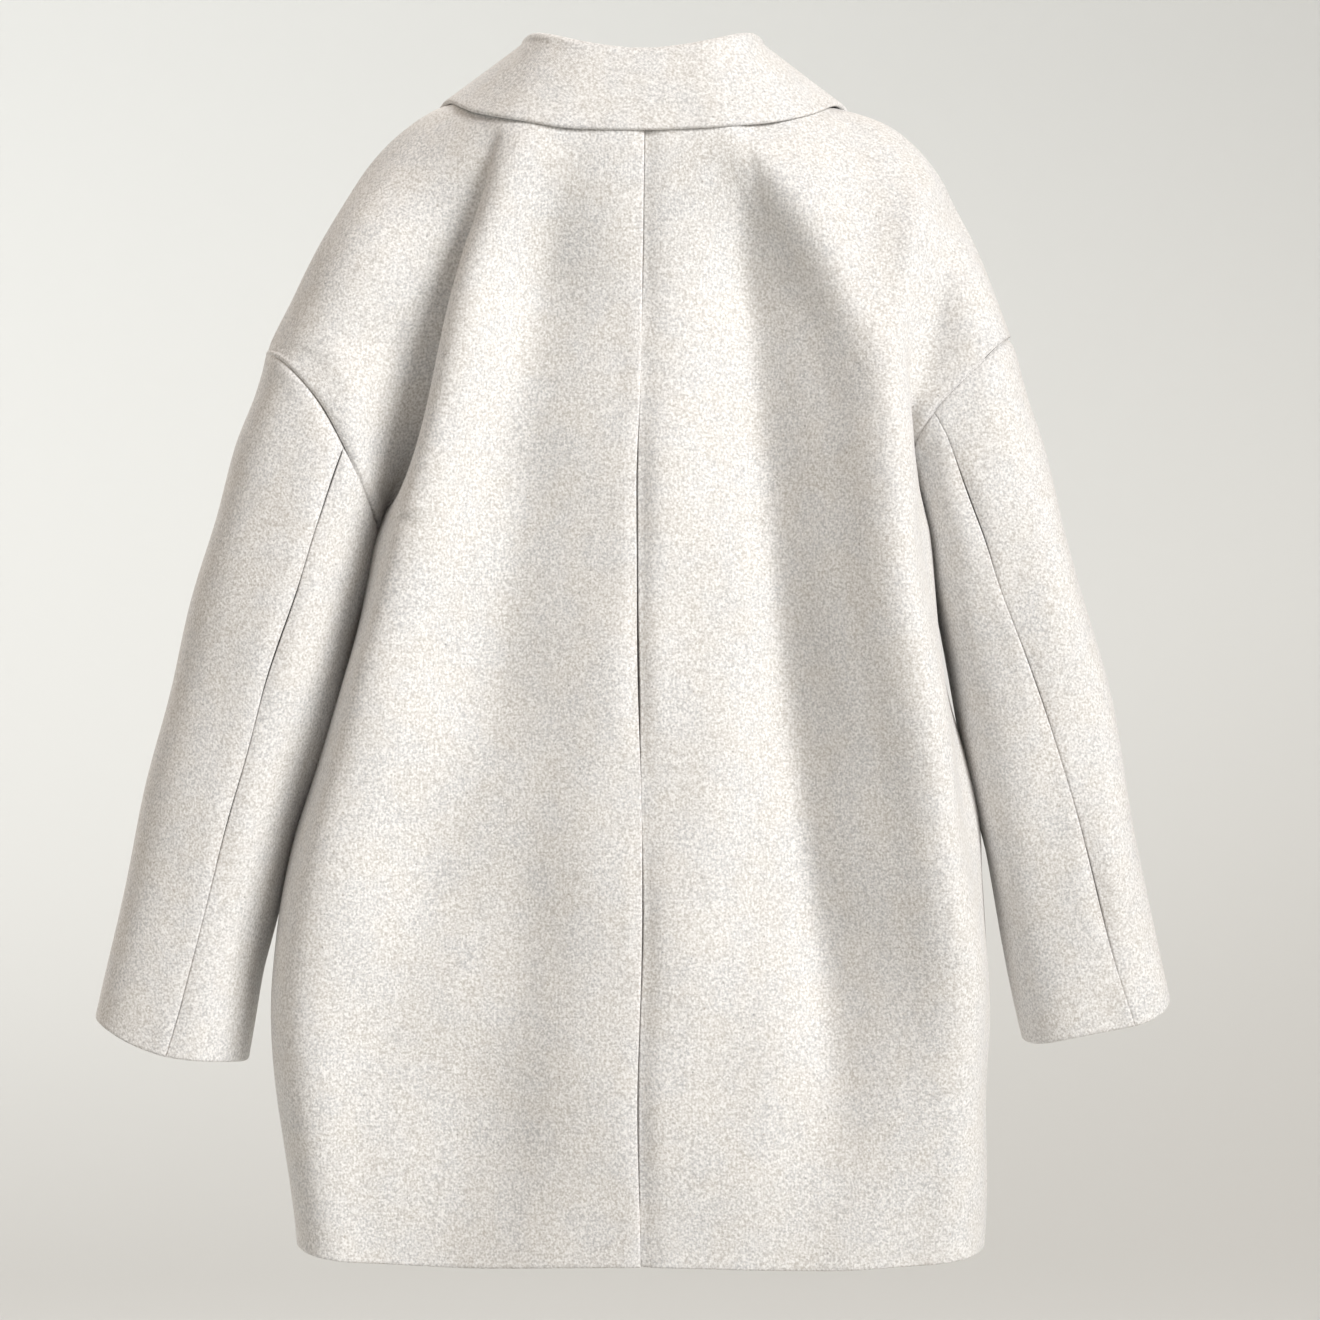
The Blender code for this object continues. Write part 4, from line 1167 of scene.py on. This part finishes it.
def sew(name, grid, flip, thickness=CLOTH):
    """Make one piece of cloth from its grid and put it in its solid's place."""
    kind = name.split("_")[0]
    edges = EDGE_STYLES.get(name) or EDGE_STYLES[kind]
    piece = bpy.data.objects.new("wool_" + name, shell_mesh(name, grid, edges, flip, thickness))
    piece.data.materials.append(wool)
    scene.collection.objects.link(piece)
    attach(piece, "root")
    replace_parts(piece, name)
    flat, area = cut_size(grid, edges)
    triangles = 2 * len(piece.data.polygons)
    print(name, triangles, "triangles, cut", [round(v, 3) for v in flat], "m, area", round(area, 3), "m2")
    return piece


pieces = {}
for name, grid in grids.items():
    pieces[name] = sew(name, grid, "left" in name)

# %% [markdown]
# The collar is one piece: it rises from the neck seam as the stand, turns over at the roll and falls to its
# free edge. It could be bent from a flat strip, but the strip would have to stretch at the edge. So a
# section is drawn at each station along the neck seam, its edge is laid on the shoulders, and the sections
# are joined.

# %% Stations along the neck
COLLAR_STATIONS = 110  # along half of the neck

# Turn-down collar by share of the neck seam from the centre back: roll line and free edge.
COLLAR = Table("share roll_x roll_y roll_z edge_x edge_y edge_z", [
    (0.00, 0, 69, 26, 0, 93, -30),
    (0.18, 32, 68, 30, 44, 93, -28),
    (0.34, 59, 57, 37, 86, 85, -20),
    (0.46, 73, 35, 42, 121, 56, -10),
    (0.58, 79, 3, 44, 139, 8, 0),
    (0.68, 82, -18, 33, 147, -28, -8),
    (0.80, 82, -40, 12, 144, -62, -42),
    (1.00, 76, -61, -33, 112, -66, -86),
])


def neck_stations():
    """Points along the neck seam, each with its share of the way from the centre back and its side."""
    stations = []
    for side in ("right", "left"):
        line = np.concatenate([grids["back_" + side][-1], grids["front_" + side][-1][1:]])
        run = run_of(line)
        places = spread(run[-1], COLLAR_STATIONS)[len(EDGE) - 1:]
        points = placed(line, places, run)
        found = [(point, place / run[-1], SIDES[side]["sign"]) for point, place in zip(points, places)]
        stations += found[::-1] if side == "right" else found
    return stations


# %% Laying the collar on the shoulders
COLLAR_CLOTH = 3.6     # two layers at the fall
COLLAR_GAP = 0.5       # between the edge of the fall and the shoulder under it
EVEN_REACH = 14        # stations over which the edge is evened


def joined_surface(names):
    """One search tree over the faces of several pieces."""
    points, faces = [], []
    for name in names:
        mesh = pieces[name].data
        start = len(points)
        points += [v.co for v in mesh.vertices]
        faces += [[start + i for i in p.vertices] for p in mesh.polygons]
    return BVHTree.FromPolygons(points, faces)


def settled_gap(tree, point):
    """Distance of a point from the cloth under it."""
    return tree.find_nearest(Vector(point * MM))[3] / MM


def settled(tree, point, clear):
    """How far to move a point so that it lies just clear of the cloth under it."""
    near = np.array(tree.find_nearest(Vector(point * MM))[0]) / MM
    gap = settled_gap(tree, point)
    return (near - point) * (gap - clear) / gap


def evened(values, reach):
    """Values averaged with their neighbours along the collar."""
    window = np.hanning(2 * reach + 3)[1:-1]
    window /= window.sum()
    padded = np.pad(values, ((reach, reach), (0, 0)), mode="edge")
    return np.stack([np.convolve(padded[:, k], window, mode="valid") for k in range(3)], axis=-1)


def collar_lines(stations):
    """Roll line and free edge of the collar, with the edge laid on the shoulders."""
    shoulders = joined_surface(["back_left", "back_right", "front_left", "front_right"])
    rolls, edges = [], []
    for _, share, sign in stations:
        mirror = np.array([sign, 1.0, 1.0])
        rolls.append(np.array([COLLAR.at(name, share) for name in ("roll_x", "roll_y", "roll_z")]) * mirror)
        edges.append(np.array([COLLAR.at(name, share) for name in ("edge_x", "edge_y", "edge_z")]) * mirror)
    clear = COLLAR_CLOTH + COLLAR_GAP
    shift = np.array([settled(shoulders, edge, clear) for edge in edges])
    edges = np.array(edges) + evened(shift, EVEN_REACH)
    least = min(settled_gap(shoulders, edge) for edge in edges)
    print("collar edge under its clearance by", round(max(clear - least, 0.0), 2), "mm at most")
    return np.array(rolls), edges


# %% Collar
ROLL_RADIUS, ROLL_END = 5.5, 3.9   # of the turn-over at the back, and closed up towards the lapels
ROLL_CLOSES = (0.8, 1.0)           # shares of the neck between which it closes
NECK_EASE = 0.6                    # air between the stand and the neck seam
NECK_TUCK = 6.0                    # how far the stand reaches down inside the neck seam
TUCK_ENDS = (0.95, 0.7)            # shares of the neck between which that ends
FALL_STEPS, STAND_STEPS, ROLL_STEPS = 22, 14, 9


def collar_grid():
    """Points of the collar: sections from the free edge over the roll to the neck seam."""
    up = np.array([0.0, 0.0, 1.0])
    stations = neck_stations()
    rolls, edges = collar_lines(stations)
    sections = []
    for (point, share, _), roll, edge in zip(stations, rolls, edges):
        out = (edge - roll) * np.array([1.0, 1.0, 0.0])
        out /= np.linalg.norm(out)
        radius = ROLL_RADIUS + (ROLL_END - ROLL_RADIUS) * blend(*ROLL_CLOSES, share)
        middle = roll - up * radius
        tuck = blend(*TUCK_ENDS, share)
        base = point - out * (CLOTH + NECK_EASE + COLLAR_CLOTH * tuck) + up * (NECK_EASE - NECK_TUCK * tuck)
        fall_top = middle + out * radius
        stand_top = middle - out * radius
        fall_run = float(np.linalg.norm(fall_top - edge))
        fall = np.concatenate([EDGE[:-1] - EDGE[0], np.linspace(EDGE[-1], fall_run, FALL_STEPS)]) / fall_run
        section = [edge + (fall_top - edge) * t for t in fall]
        for angle in np.radians(np.linspace(0.0, 180.0, ROLL_STEPS + 2)[1:-1]):
            section.append(middle + (out * math.cos(angle) + up * math.sin(angle)) * radius)
        section += [stand_top + (base - stand_top) * t for t in np.linspace(0.0, 1.0, STAND_STEPS)]
        sections.append(section)
    return np.array(sections).transpose(1, 0, 2)


grids["collar"] = collar_grid()
pieces["collar"] = sew("collar", grids["collar"], True, COLLAR_CLOTH)

# %% [markdown]
# The lapels are the upper fronts turned back along the roll line. The panel itself could be bent over
# there, but its rows run the wrong way for that. So each lapel is drawn flat, then laid on the panel under
# it: a ray from in front finds the panel, and the lapel's points are moved out from there.

# %% Finding the front panel
FAR_FRONT = -0.5       # in front of the whole coat, in metres


def surface_of(piece):
    """A search tree over the faces of a piece."""
    mesh = piece.data
    return BVHTree.FromPolygons([v.co for v in mesh.vertices], [p.vertices for p in mesh.polygons])


def front_depth_at(tree, x, z):
    """Depth of a front panel's outer face, looking straight at it."""
    hit = tree.ray_cast(Vector((x * MM, FAR_FRONT, z * MM)), Vector((0.0, 1.0, 0.0)))[0]
    return None if hit is None else hit.y / MM


# %% Flat lapel
GORGE = np.array([74.8, -33.8])      # where the lapel meets the roll of the collar
NOTCH = np.array([95.5, -62.6])
LAPEL_TIP = np.array([112.0, -108.0])
GORGE_POWER = 6.0      # how near the top the edge bends to the gorge
LAPEL_COLUMNS = 30
LAPEL_LEAST = 3.0 * EDGE[-1]         # narrowest row that points are spaced for


def lapel_flat(v, u, roll, edge, top):
    """Place on the flat lapel: v runs up the roll line, u out to the edge."""
    if u <= 0.5:
        gorge = GORGE + (NOTCH - GORGE) * u * 2.0
    else:
        gorge = NOTCH + (LAPEL_TIP - NOTCH) * (u * 2.0 - 1.0)
    straight = top + (LAPEL_TIP - top) * u
    return roll + (edge - roll) * u + (gorge - straight) * v ** GORGE_POWER


def lapel_shares(wide):
    """Shares of a row's width: even at first, then close together towards the edge."""
    wide = max(wide, LAPEL_LEAST)
    even = np.linspace(0.0, wide - EDGE[-1], LAPEL_COLUMNS)
    return np.concatenate([even, wide - EDGE[-2::-1]]) / wide


# %% Laying the lapel on the panel
LAPEL_PASSES = 2       # rounds of evening
ROLL_TURN_STEPS = 9


def laid_on(tree, sign, places, depth):
    """Points of a row on the panel. One beyond the panel takes the depth of the one before it."""
    points = []
    for x, z in places:
        found = front_depth_at(tree, sign * x, z)
        depth = depth if found is None else found
        points.append((x, depth, z))
    return np.array(points)


def evened_depth(depth):
    """Depths along a row, with small steps evened out."""
    for _ in range(LAPEL_PASSES):
        depth[1:-1] = (depth[:-2] + 2.0 * depth[1:-1] + depth[2:]) / 4.0
    return depth


def rolled_edge(first, outward):
    """Points of the half round from the panel's edge to the first point of a lapel's row."""
    points = []
    for angle in np.radians(np.linspace(-90.0, 90.0, ROLL_TURN_STEPS + 1)[:-1]):
        step = -outward * ROLL * math.cos(angle)
        depth = first[1] + (CLOTH - LAYER) / 2.0 - ROLL * math.sin(angle)
        points.append((first[0] + step[0], depth, first[2] + step[1]))
    return np.array(points)


# %% Lapels
LAPEL_ROWS = 70
LAPEL_START = 0.06     # its lower end, as a share of the roll line
LAPEL_FULL, LAPEL_TAPER = 26.0, 0.5  # how far the edge curves out, and how much less of it near the top


def lapel_grid(side):
    """Points of a lapel, row by row up the roll line."""
    sign = SIDES[side]["sign"]
    tree = surface_of(pieces["front_" + side])
    low = np.array([-OVERLAP, BREAK_Z])
    top = np.array([ROLL_TOP_X, NECK_FRONT_Z])
    along = (top - low) / np.linalg.norm(top - low)
    outward = np.array([along[1], -along[0]])
    up_run = float(np.linalg.norm(top - low)) * (1.0 - LAPEL_START)
    grid = []
    for v in LAPEL_START + (1.0 - LAPEL_START) * spread(up_run, LAPEL_ROWS) / up_run:
        roll = low + (top - low) * v + outward * ROLL
        fullness = LAPEL_FULL * math.sin(math.pi * v) * (1.0 - LAPEL_TAPER * v)
        edge = low + (LAPEL_TIP - low) * v + outward * fullness
        shares = lapel_shares(float(np.linalg.norm(edge - roll)))
        places = [lapel_flat(v, u, roll, edge, top) for u in shares]
        line = laid_on(tree, sign, places, front_depth_at(tree, sign * roll[0], roll[1]))
        line[:, 1] = evened_depth(line[:, 1] - LAYER)
        row = np.concatenate([rolled_edge(line[0], outward), line])
        grid.append(row * np.array([sign, 1.0, 1.0]))
    return np.array(grid)


for side in SIDES:
    name = "lapel_" + side
    grids[name] = lapel_grid(side)
    pieces[name] = sew(name, grids[name], side == "right")

# %% [markdown]
# Buttons are cast resin, coloured like pale horn: a dished face with a raised rim and four holes. A satin
# gloss and soft streaks set them off from the dull wool. The round form is turned from a profile, as on a
# lathe, and the holes are drilled with a boolean modifier, which is simpler than fitting faces round them
# by hand. All six share one mesh.

# %% Horn resin
GRAIN_MM = 3.8         # streaks of the casting


def make_horn():
    """Cast resin: streaks of two browns, and a satin gloss that varies with them."""
    horn, tree, shader = new_material("cast_horn_resin")
    solid = add_node(tree, "TexCoord").outputs["Object"]
    streak = add_node(tree, "Mapping", {
        "Vector": solid, "Scale": (1.0, 0.55, 1.0), "Rotation": (0.0, 0.0, 0.5)})
    grain = add_node(tree, "TexNoise", {
        "Vector": streak.outputs["Vector"], "Scale": 1.0 / (GRAIN_MM * MM), "Detail": 4.0, "Distortion": 1.4})
    share = add_node(tree, "MapRange", {
        "Value": grain.outputs["Fac"], "From Min": 0.3, "From Max": 0.7, "To Min": 0.0, "To Max": 1.0})
    colour = add_node(tree, "Mix", {
        0: share.outputs["Result"], 6: linear("#B9A88F"), 7: linear("#8D7963")}, data_type="RGBA")
    tree.links.new(colour.outputs[2], shader.inputs["Base Color"])
    rough = add_node(tree, "MapRange", {
        "Value": grain.outputs["Fac"], "From Min": 0.3, "From Max": 0.7, "To Min": 0.3, "To Max": 0.42})
    tree.links.new(rough.outputs["Result"], shader.inputs["Roughness"])
    shader.inputs["IOR"].default_value = 1.5
    return horn


horn = make_horn()
print(horn.name, "has", len(horn.node_tree.nodes), "nodes")

# %% Button mesh
BUTTON_FACE = 2.3      # height of the dished face
BUTTON_PROFILE = (
    (0.0, BUTTON_FACE), (5.5, BUTTON_FACE), (8.0, 2.5), (9.3, 3.0), (10.2, 3.7), (11.2, 4.1), (12.4, 4.2),
    (13.3, 3.8), (13.9, 3.1), (14.0, 2.5), (13.7, 1.6), (12.9, 0.7), (11.5, 0.15), (10.0, 0.0), (0.0, 0.0),
)
BUTTON_SIDES = 64
BUTTON_SHARP = math.radians(35.0)
HOLE_OUT = 2.7         # from the middle of the button to the middle of a hole
HOLE_RADIUS, DRILL_TOP, DRILL_END = 1.15, 6.0, -2.0
HOLE_PROFILE = ((0.0, DRILL_TOP), (HOLE_RADIUS, DRILL_TOP), (HOLE_RADIUS, DRILL_END), (0.0, DRILL_END))
HOLE_SIDES = 20
HOLE_ANGLES = np.radians([45.0, 135.0, 225.0, 315.0])


def turned_parts(profile, sides, middle=(0.0, 0.0), first=0):
    """Points and faces of a form turned round an upright axis."""
    x, y = middle
    angles = np.linspace(0.0, 2.0 * math.pi, sides, endpoint=False)
    points = [(x, y, profile[0][1])]
    points += [(x + r * math.cos(a), y + r * math.sin(a), h) for r, h in profile[1:-1] for a in angles]
    points.append((x, y, profile[-1][1]))
    bands = len(profile) - 2
    after = np.roll(np.arange(sides), -1)
    faces = [(first, first + 1 + i, first + 1 + after[i]) for i in range(sides)]
    for band in range(bands - 1):
        a, b = first + 1 + band * sides, first + 1 + (band + 1) * sides
        faces += [(a + i, b + i, b + after[i], a + after[i]) for i in range(sides)]
    a, last = first + 1 + (bands - 1) * sides, first + len(points) - 1
    faces += [(a + after[i], a + i, last) for i in range(sides)]
    return points, faces


def new_mesh(name, points, faces):
    """A mesh from points in millimetres."""
    mesh = bpy.data.meshes.new(name)
    mesh.from_pydata((np.array(points) * MM).tolist(), [], [[int(i) for i in face] for face in faces])
    return mesh


def drilled_button():
    """Mesh of a button with its four holes."""
    blank = bpy.data.objects.new("blank", new_mesh("blank", *turned_parts(BUTTON_PROFILE, BUTTON_SIDES)))
    points, faces = [], []
    for angle in HOLE_ANGLES:
        place = (HOLE_OUT * math.cos(angle), HOLE_OUT * math.sin(angle))
        more_points, more_faces = turned_parts(HOLE_PROFILE, HOLE_SIDES, place, len(points))
        points += more_points
        faces += more_faces
    drill = bpy.data.objects.new("drill", new_mesh("drill", points, faces))
    scene.collection.objects.link(blank)
    scene.collection.objects.link(drill)
    cut = blank.modifiers.new("holes", "BOOLEAN")
    cut.object = drill
    mesh = bpy.data.meshes.new_from_object(blank.evaluated_get(bpy.context.evaluated_depsgraph_get()))
    mesh.name = "button"
    bpy.data.objects.remove(blank)
    bpy.data.objects.remove(drill)
    mesh.shade_smooth()
    mesh.set_sharp_from_angle(angle=BUTTON_SHARP)
    return mesh


button = drilled_button()
button.materials.clear()
button.materials.append(horn)
print("button", len(button.polygons), "faces with", len(HOLE_ANGLES), "holes")

# %% [markdown]
# The thread is strong cotton twist. It crosses each button from hole to hole, and the same twist binds the
# edges of the buttonholes in the right front. A strand could be a curve with a bevel. It is a thin tube of
# faces instead, so that it gets a flat map that runs along it: fine slanting ridges on that map, with
# painted shade between them, stand for the twist of the yarn, or for the stitches laid side by side.

# %% Cotton twist
TWIST_MM = 0.9         # real stitches lie about 0.5 mm apart: drawn wider, so that they show


def make_twist():
    """Dull cotton: slanting ridges, with painted shade between them."""
    twist, tree, shader = new_material("cotton_twist")
    place = add_node(tree, "TexCoord").outputs["UV"]
    slant = add_node(tree, "Mapping", {"Vector": place, "Rotation": (0.0, 0.0, 0.4)})
    ridge = add_node(tree, "TexWave", {
        "Vector": slant.outputs["Vector"], "Scale": wave_scale(TWIST_MM), "Distortion": 0.6, "Detail": 1.0},
        bands_direction="X")
    # The colour darkens between the ridges: painted shade in the grooves of the twist.
    colour = add_node(tree, "Mix", {
        0: ridge.outputs["Fac"], 6: linear("#A79F94"), 7: linear("#D2CBC1")}, data_type="RGBA")
    tree.links.new(colour.outputs[2], shader.inputs["Base Color"])
    bump = add_node(tree, "Bump", {"Height": ridge.outputs["Fac"], "Strength": 0.6, "Distance": 0.0003})
    tree.links.new(bump.outputs["Normal"], shader.inputs["Normal"])
    shader.inputs["Roughness"].default_value = 0.75
    shader.inputs["Sheen Weight"].default_value = 0.2
    return twist


twist = make_twist()
print(twist.name, "has", len(twist.node_tree.nodes), "nodes")

# %% Strands
THREAD_SIDES = 8


def tube_parts(path, side, radius, first):
    """Points, faces and flat places of a tube. side is a direction across the whole path."""
    ahead = np.gradient(path, axis=0)
    ahead /= np.linalg.norm(ahead, axis=1, keepdims=True)
    across = side - ahead * (ahead @ side)[:, None]
    across /= np.linalg.norm(across, axis=1, keepdims=True)
    out = np.cross(ahead, across)
    angles = np.linspace(0.0, 2.0 * math.pi, THREAD_SIDES, endpoint=False)
    around = across[:, None] * np.cos(angles)[:, None] + out[:, None] * np.sin(angles)[:, None]
    rings = path[:, None] + radius * around
    faces = []
    for i in range(len(path) - 1):
        for j in range(THREAD_SIDES):
            a, b = first + i * THREAD_SIDES + j, first + i * THREAD_SIDES + (j + 1) % THREAD_SIDES
            faces.append((a, b, b + THREAD_SIDES, a + THREAD_SIDES))
    faces.append(tuple(first + j for j in range(THREAD_SIDES))[::-1])
    faces.append(tuple(first + (len(path) - 1) * THREAD_SIDES + j for j in range(THREAD_SIDES)))
    flat = np.stack(np.broadcast_arrays(run_of(path)[:, None], angles[None] * radius), axis=-1)
    return rings.reshape(-1, 3), faces, flat.reshape(-1, 2)


def thread_mesh(name, paths, radius):
    """One mesh of several strands. paths are lines of points, each with a direction across it."""
    points, faces, flats = [], [], []
    for path, side in paths:
        rings, more, flat = tube_parts(np.array(path), np.array(side), radius, sum(len(p) for p in points))
        points.append(rings)
        faces += more
        flats.append(flat)
    mesh = new_mesh(name, np.concatenate(points), faces)
    set_places(mesh, "thread", np.concatenate(flats) * MM)
    mesh.shade_smooth()
    mesh.materials.append(twist)
    return mesh


# %% Crossed thread
THREAD_RADIUS = 0.36
THREAD_STEPS = 25
STRANDS = (-0.62, 0.0, 0.62)   # side by side
THREAD_ARCH = 0.45     # height of the thread over the button's face
THREAD_DIP = 2.0       # how far it goes down into a hole
THREAD_REACH = 1.08    # its end, as a share of the way to the middle of the hole
GATHER = 0.5           # how far the strands close up there
DIP_POWER, GATHER_POWER = 12, 4   # how near the hole they dip and close up


def crossing_paths():
    """Strands from each hole to the one across from it."""
    paths = []
    for angle in HOLE_ANGLES[:2]:
        ahead = np.array([math.cos(angle), math.sin(angle), 0.0])
        side = np.array([-ahead[1], ahead[0], 0.0])
        for strand in STRANDS:
            s = np.linspace(-1.0, 1.0, THREAD_STEPS)[:, None]
            height = BUTTON_FACE + THREAD_ARCH - THREAD_DIP * s ** DIP_POWER
            path = ahead * HOLE_OUT * THREAD_REACH * s + side * strand * (1.0 - GATHER * s ** GATHER_POWER)
            paths.append((path + np.array([0.0, 0.0, 1.0]) * height, side))
    return paths


crossed_thread = thread_mesh("crossed_thread", crossing_paths(), THREAD_RADIUS)
print("crossed thread", len(crossed_thread.polygons), "faces")

# %% [markdown]
# Each button goes where its solid is. Its place could be written in numbers, but the solid's own points
# give its middle and the way it faces, so the button lies on the cloth as the solid does.

# %% Buttons
BUTTON_COUNT = 6


def solid_place(name):
    """Middle and axes of a button's solid: across, up and out of the cloth."""
    points = np.array([v.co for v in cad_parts[name].data.vertices])
    middle = points.mean(axis=0)
    out = np.linalg.eigh(np.cov((points - middle).T))[1][:, 0]
    out *= -np.sign(out[1])
    across = np.cross(out, np.array([0.0, 0.0, 1.0]))
    across /= np.linalg.norm(across)
    heights = (points - middle) @ out
    turn = Matrix((across, np.cross(out, across), out)).transposed().to_4x4()
    return Matrix.Translation(middle + out * heights.min()) @ turn


def add_trim(name, mesh, place):
    """A button or thread, which rides on the coat."""
    piece = bpy.data.objects.new(name, mesh)
    piece.matrix_world = place
    scene.collection.objects.link(piece)
    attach(piece, "root")
    return piece


button_places = {}
for number in range(1, BUTTON_COUNT + 1):
    name = "button_" + str(number)
    place = solid_place(name)
    button_places[name] = place.translation / MM
    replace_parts(add_trim("horn_" + name, button, place), name)
    add_trim("thread_" + name, crossed_thread, place)
print("buttons at", {name: [round(v) for v in place] for name, place in button_places.items()})

# %% [markdown]
# The right front laps over the left, so its outer column of buttons comes through buttonholes in it. A
# buttonhole in a coat is a slit that runs from the button's stem away from the edge, bound all round with
# close stitches. A slit cut through the panel would not show, because its edges meet. So only the bound
# edge is made: a tube that follows the slit there and back, laid on the panel with a ray from in front.

# %% Buttonholes
SLIT_LONG = 32.0
SLIT_HALF = 1.0        # from the middle of the slit to its bound edge
SLIT_STEPS, END_STEPS = 30, 9
BINDING_RADIUS = 0.85


def binding_path(button_middle, tree):
    """Line of the bound edge, there and back round the slit."""
    x_stem, z = button_middle[0], button_middle[2]
    x_end = x_stem - SLIT_LONG
    turn = np.radians(np.linspace(90.0, 270.0, END_STEPS))
    there = [(x, z + SLIT_HALF) for x in np.linspace(x_stem, x_end, SLIT_STEPS)]
    back = [(x, z - SLIT_HALF) for x in np.linspace(x_end, x_stem, SLIT_STEPS)]
    end = [(x_end + SLIT_HALF * math.cos(a), z + SLIT_HALF * math.sin(a)) for a in turn[1:-1]]
    return np.array([(x, front_depth_at(tree, x, level), level) for x, level in there + end + back])


right_front = surface_of(pieces["front_right"])
outer_column = [name for name, place in button_places.items() if place[0] > 0.0]
slits = [(binding_path(button_places[name], right_front), (0.0, 1.0, 0.0)) for name in outer_column]
binding = thread_mesh("buttonhole_binding", slits, BINDING_RADIUS)
add_trim("buttonhole_binding", binding, Matrix())
print("buttonholes for", outer_column)
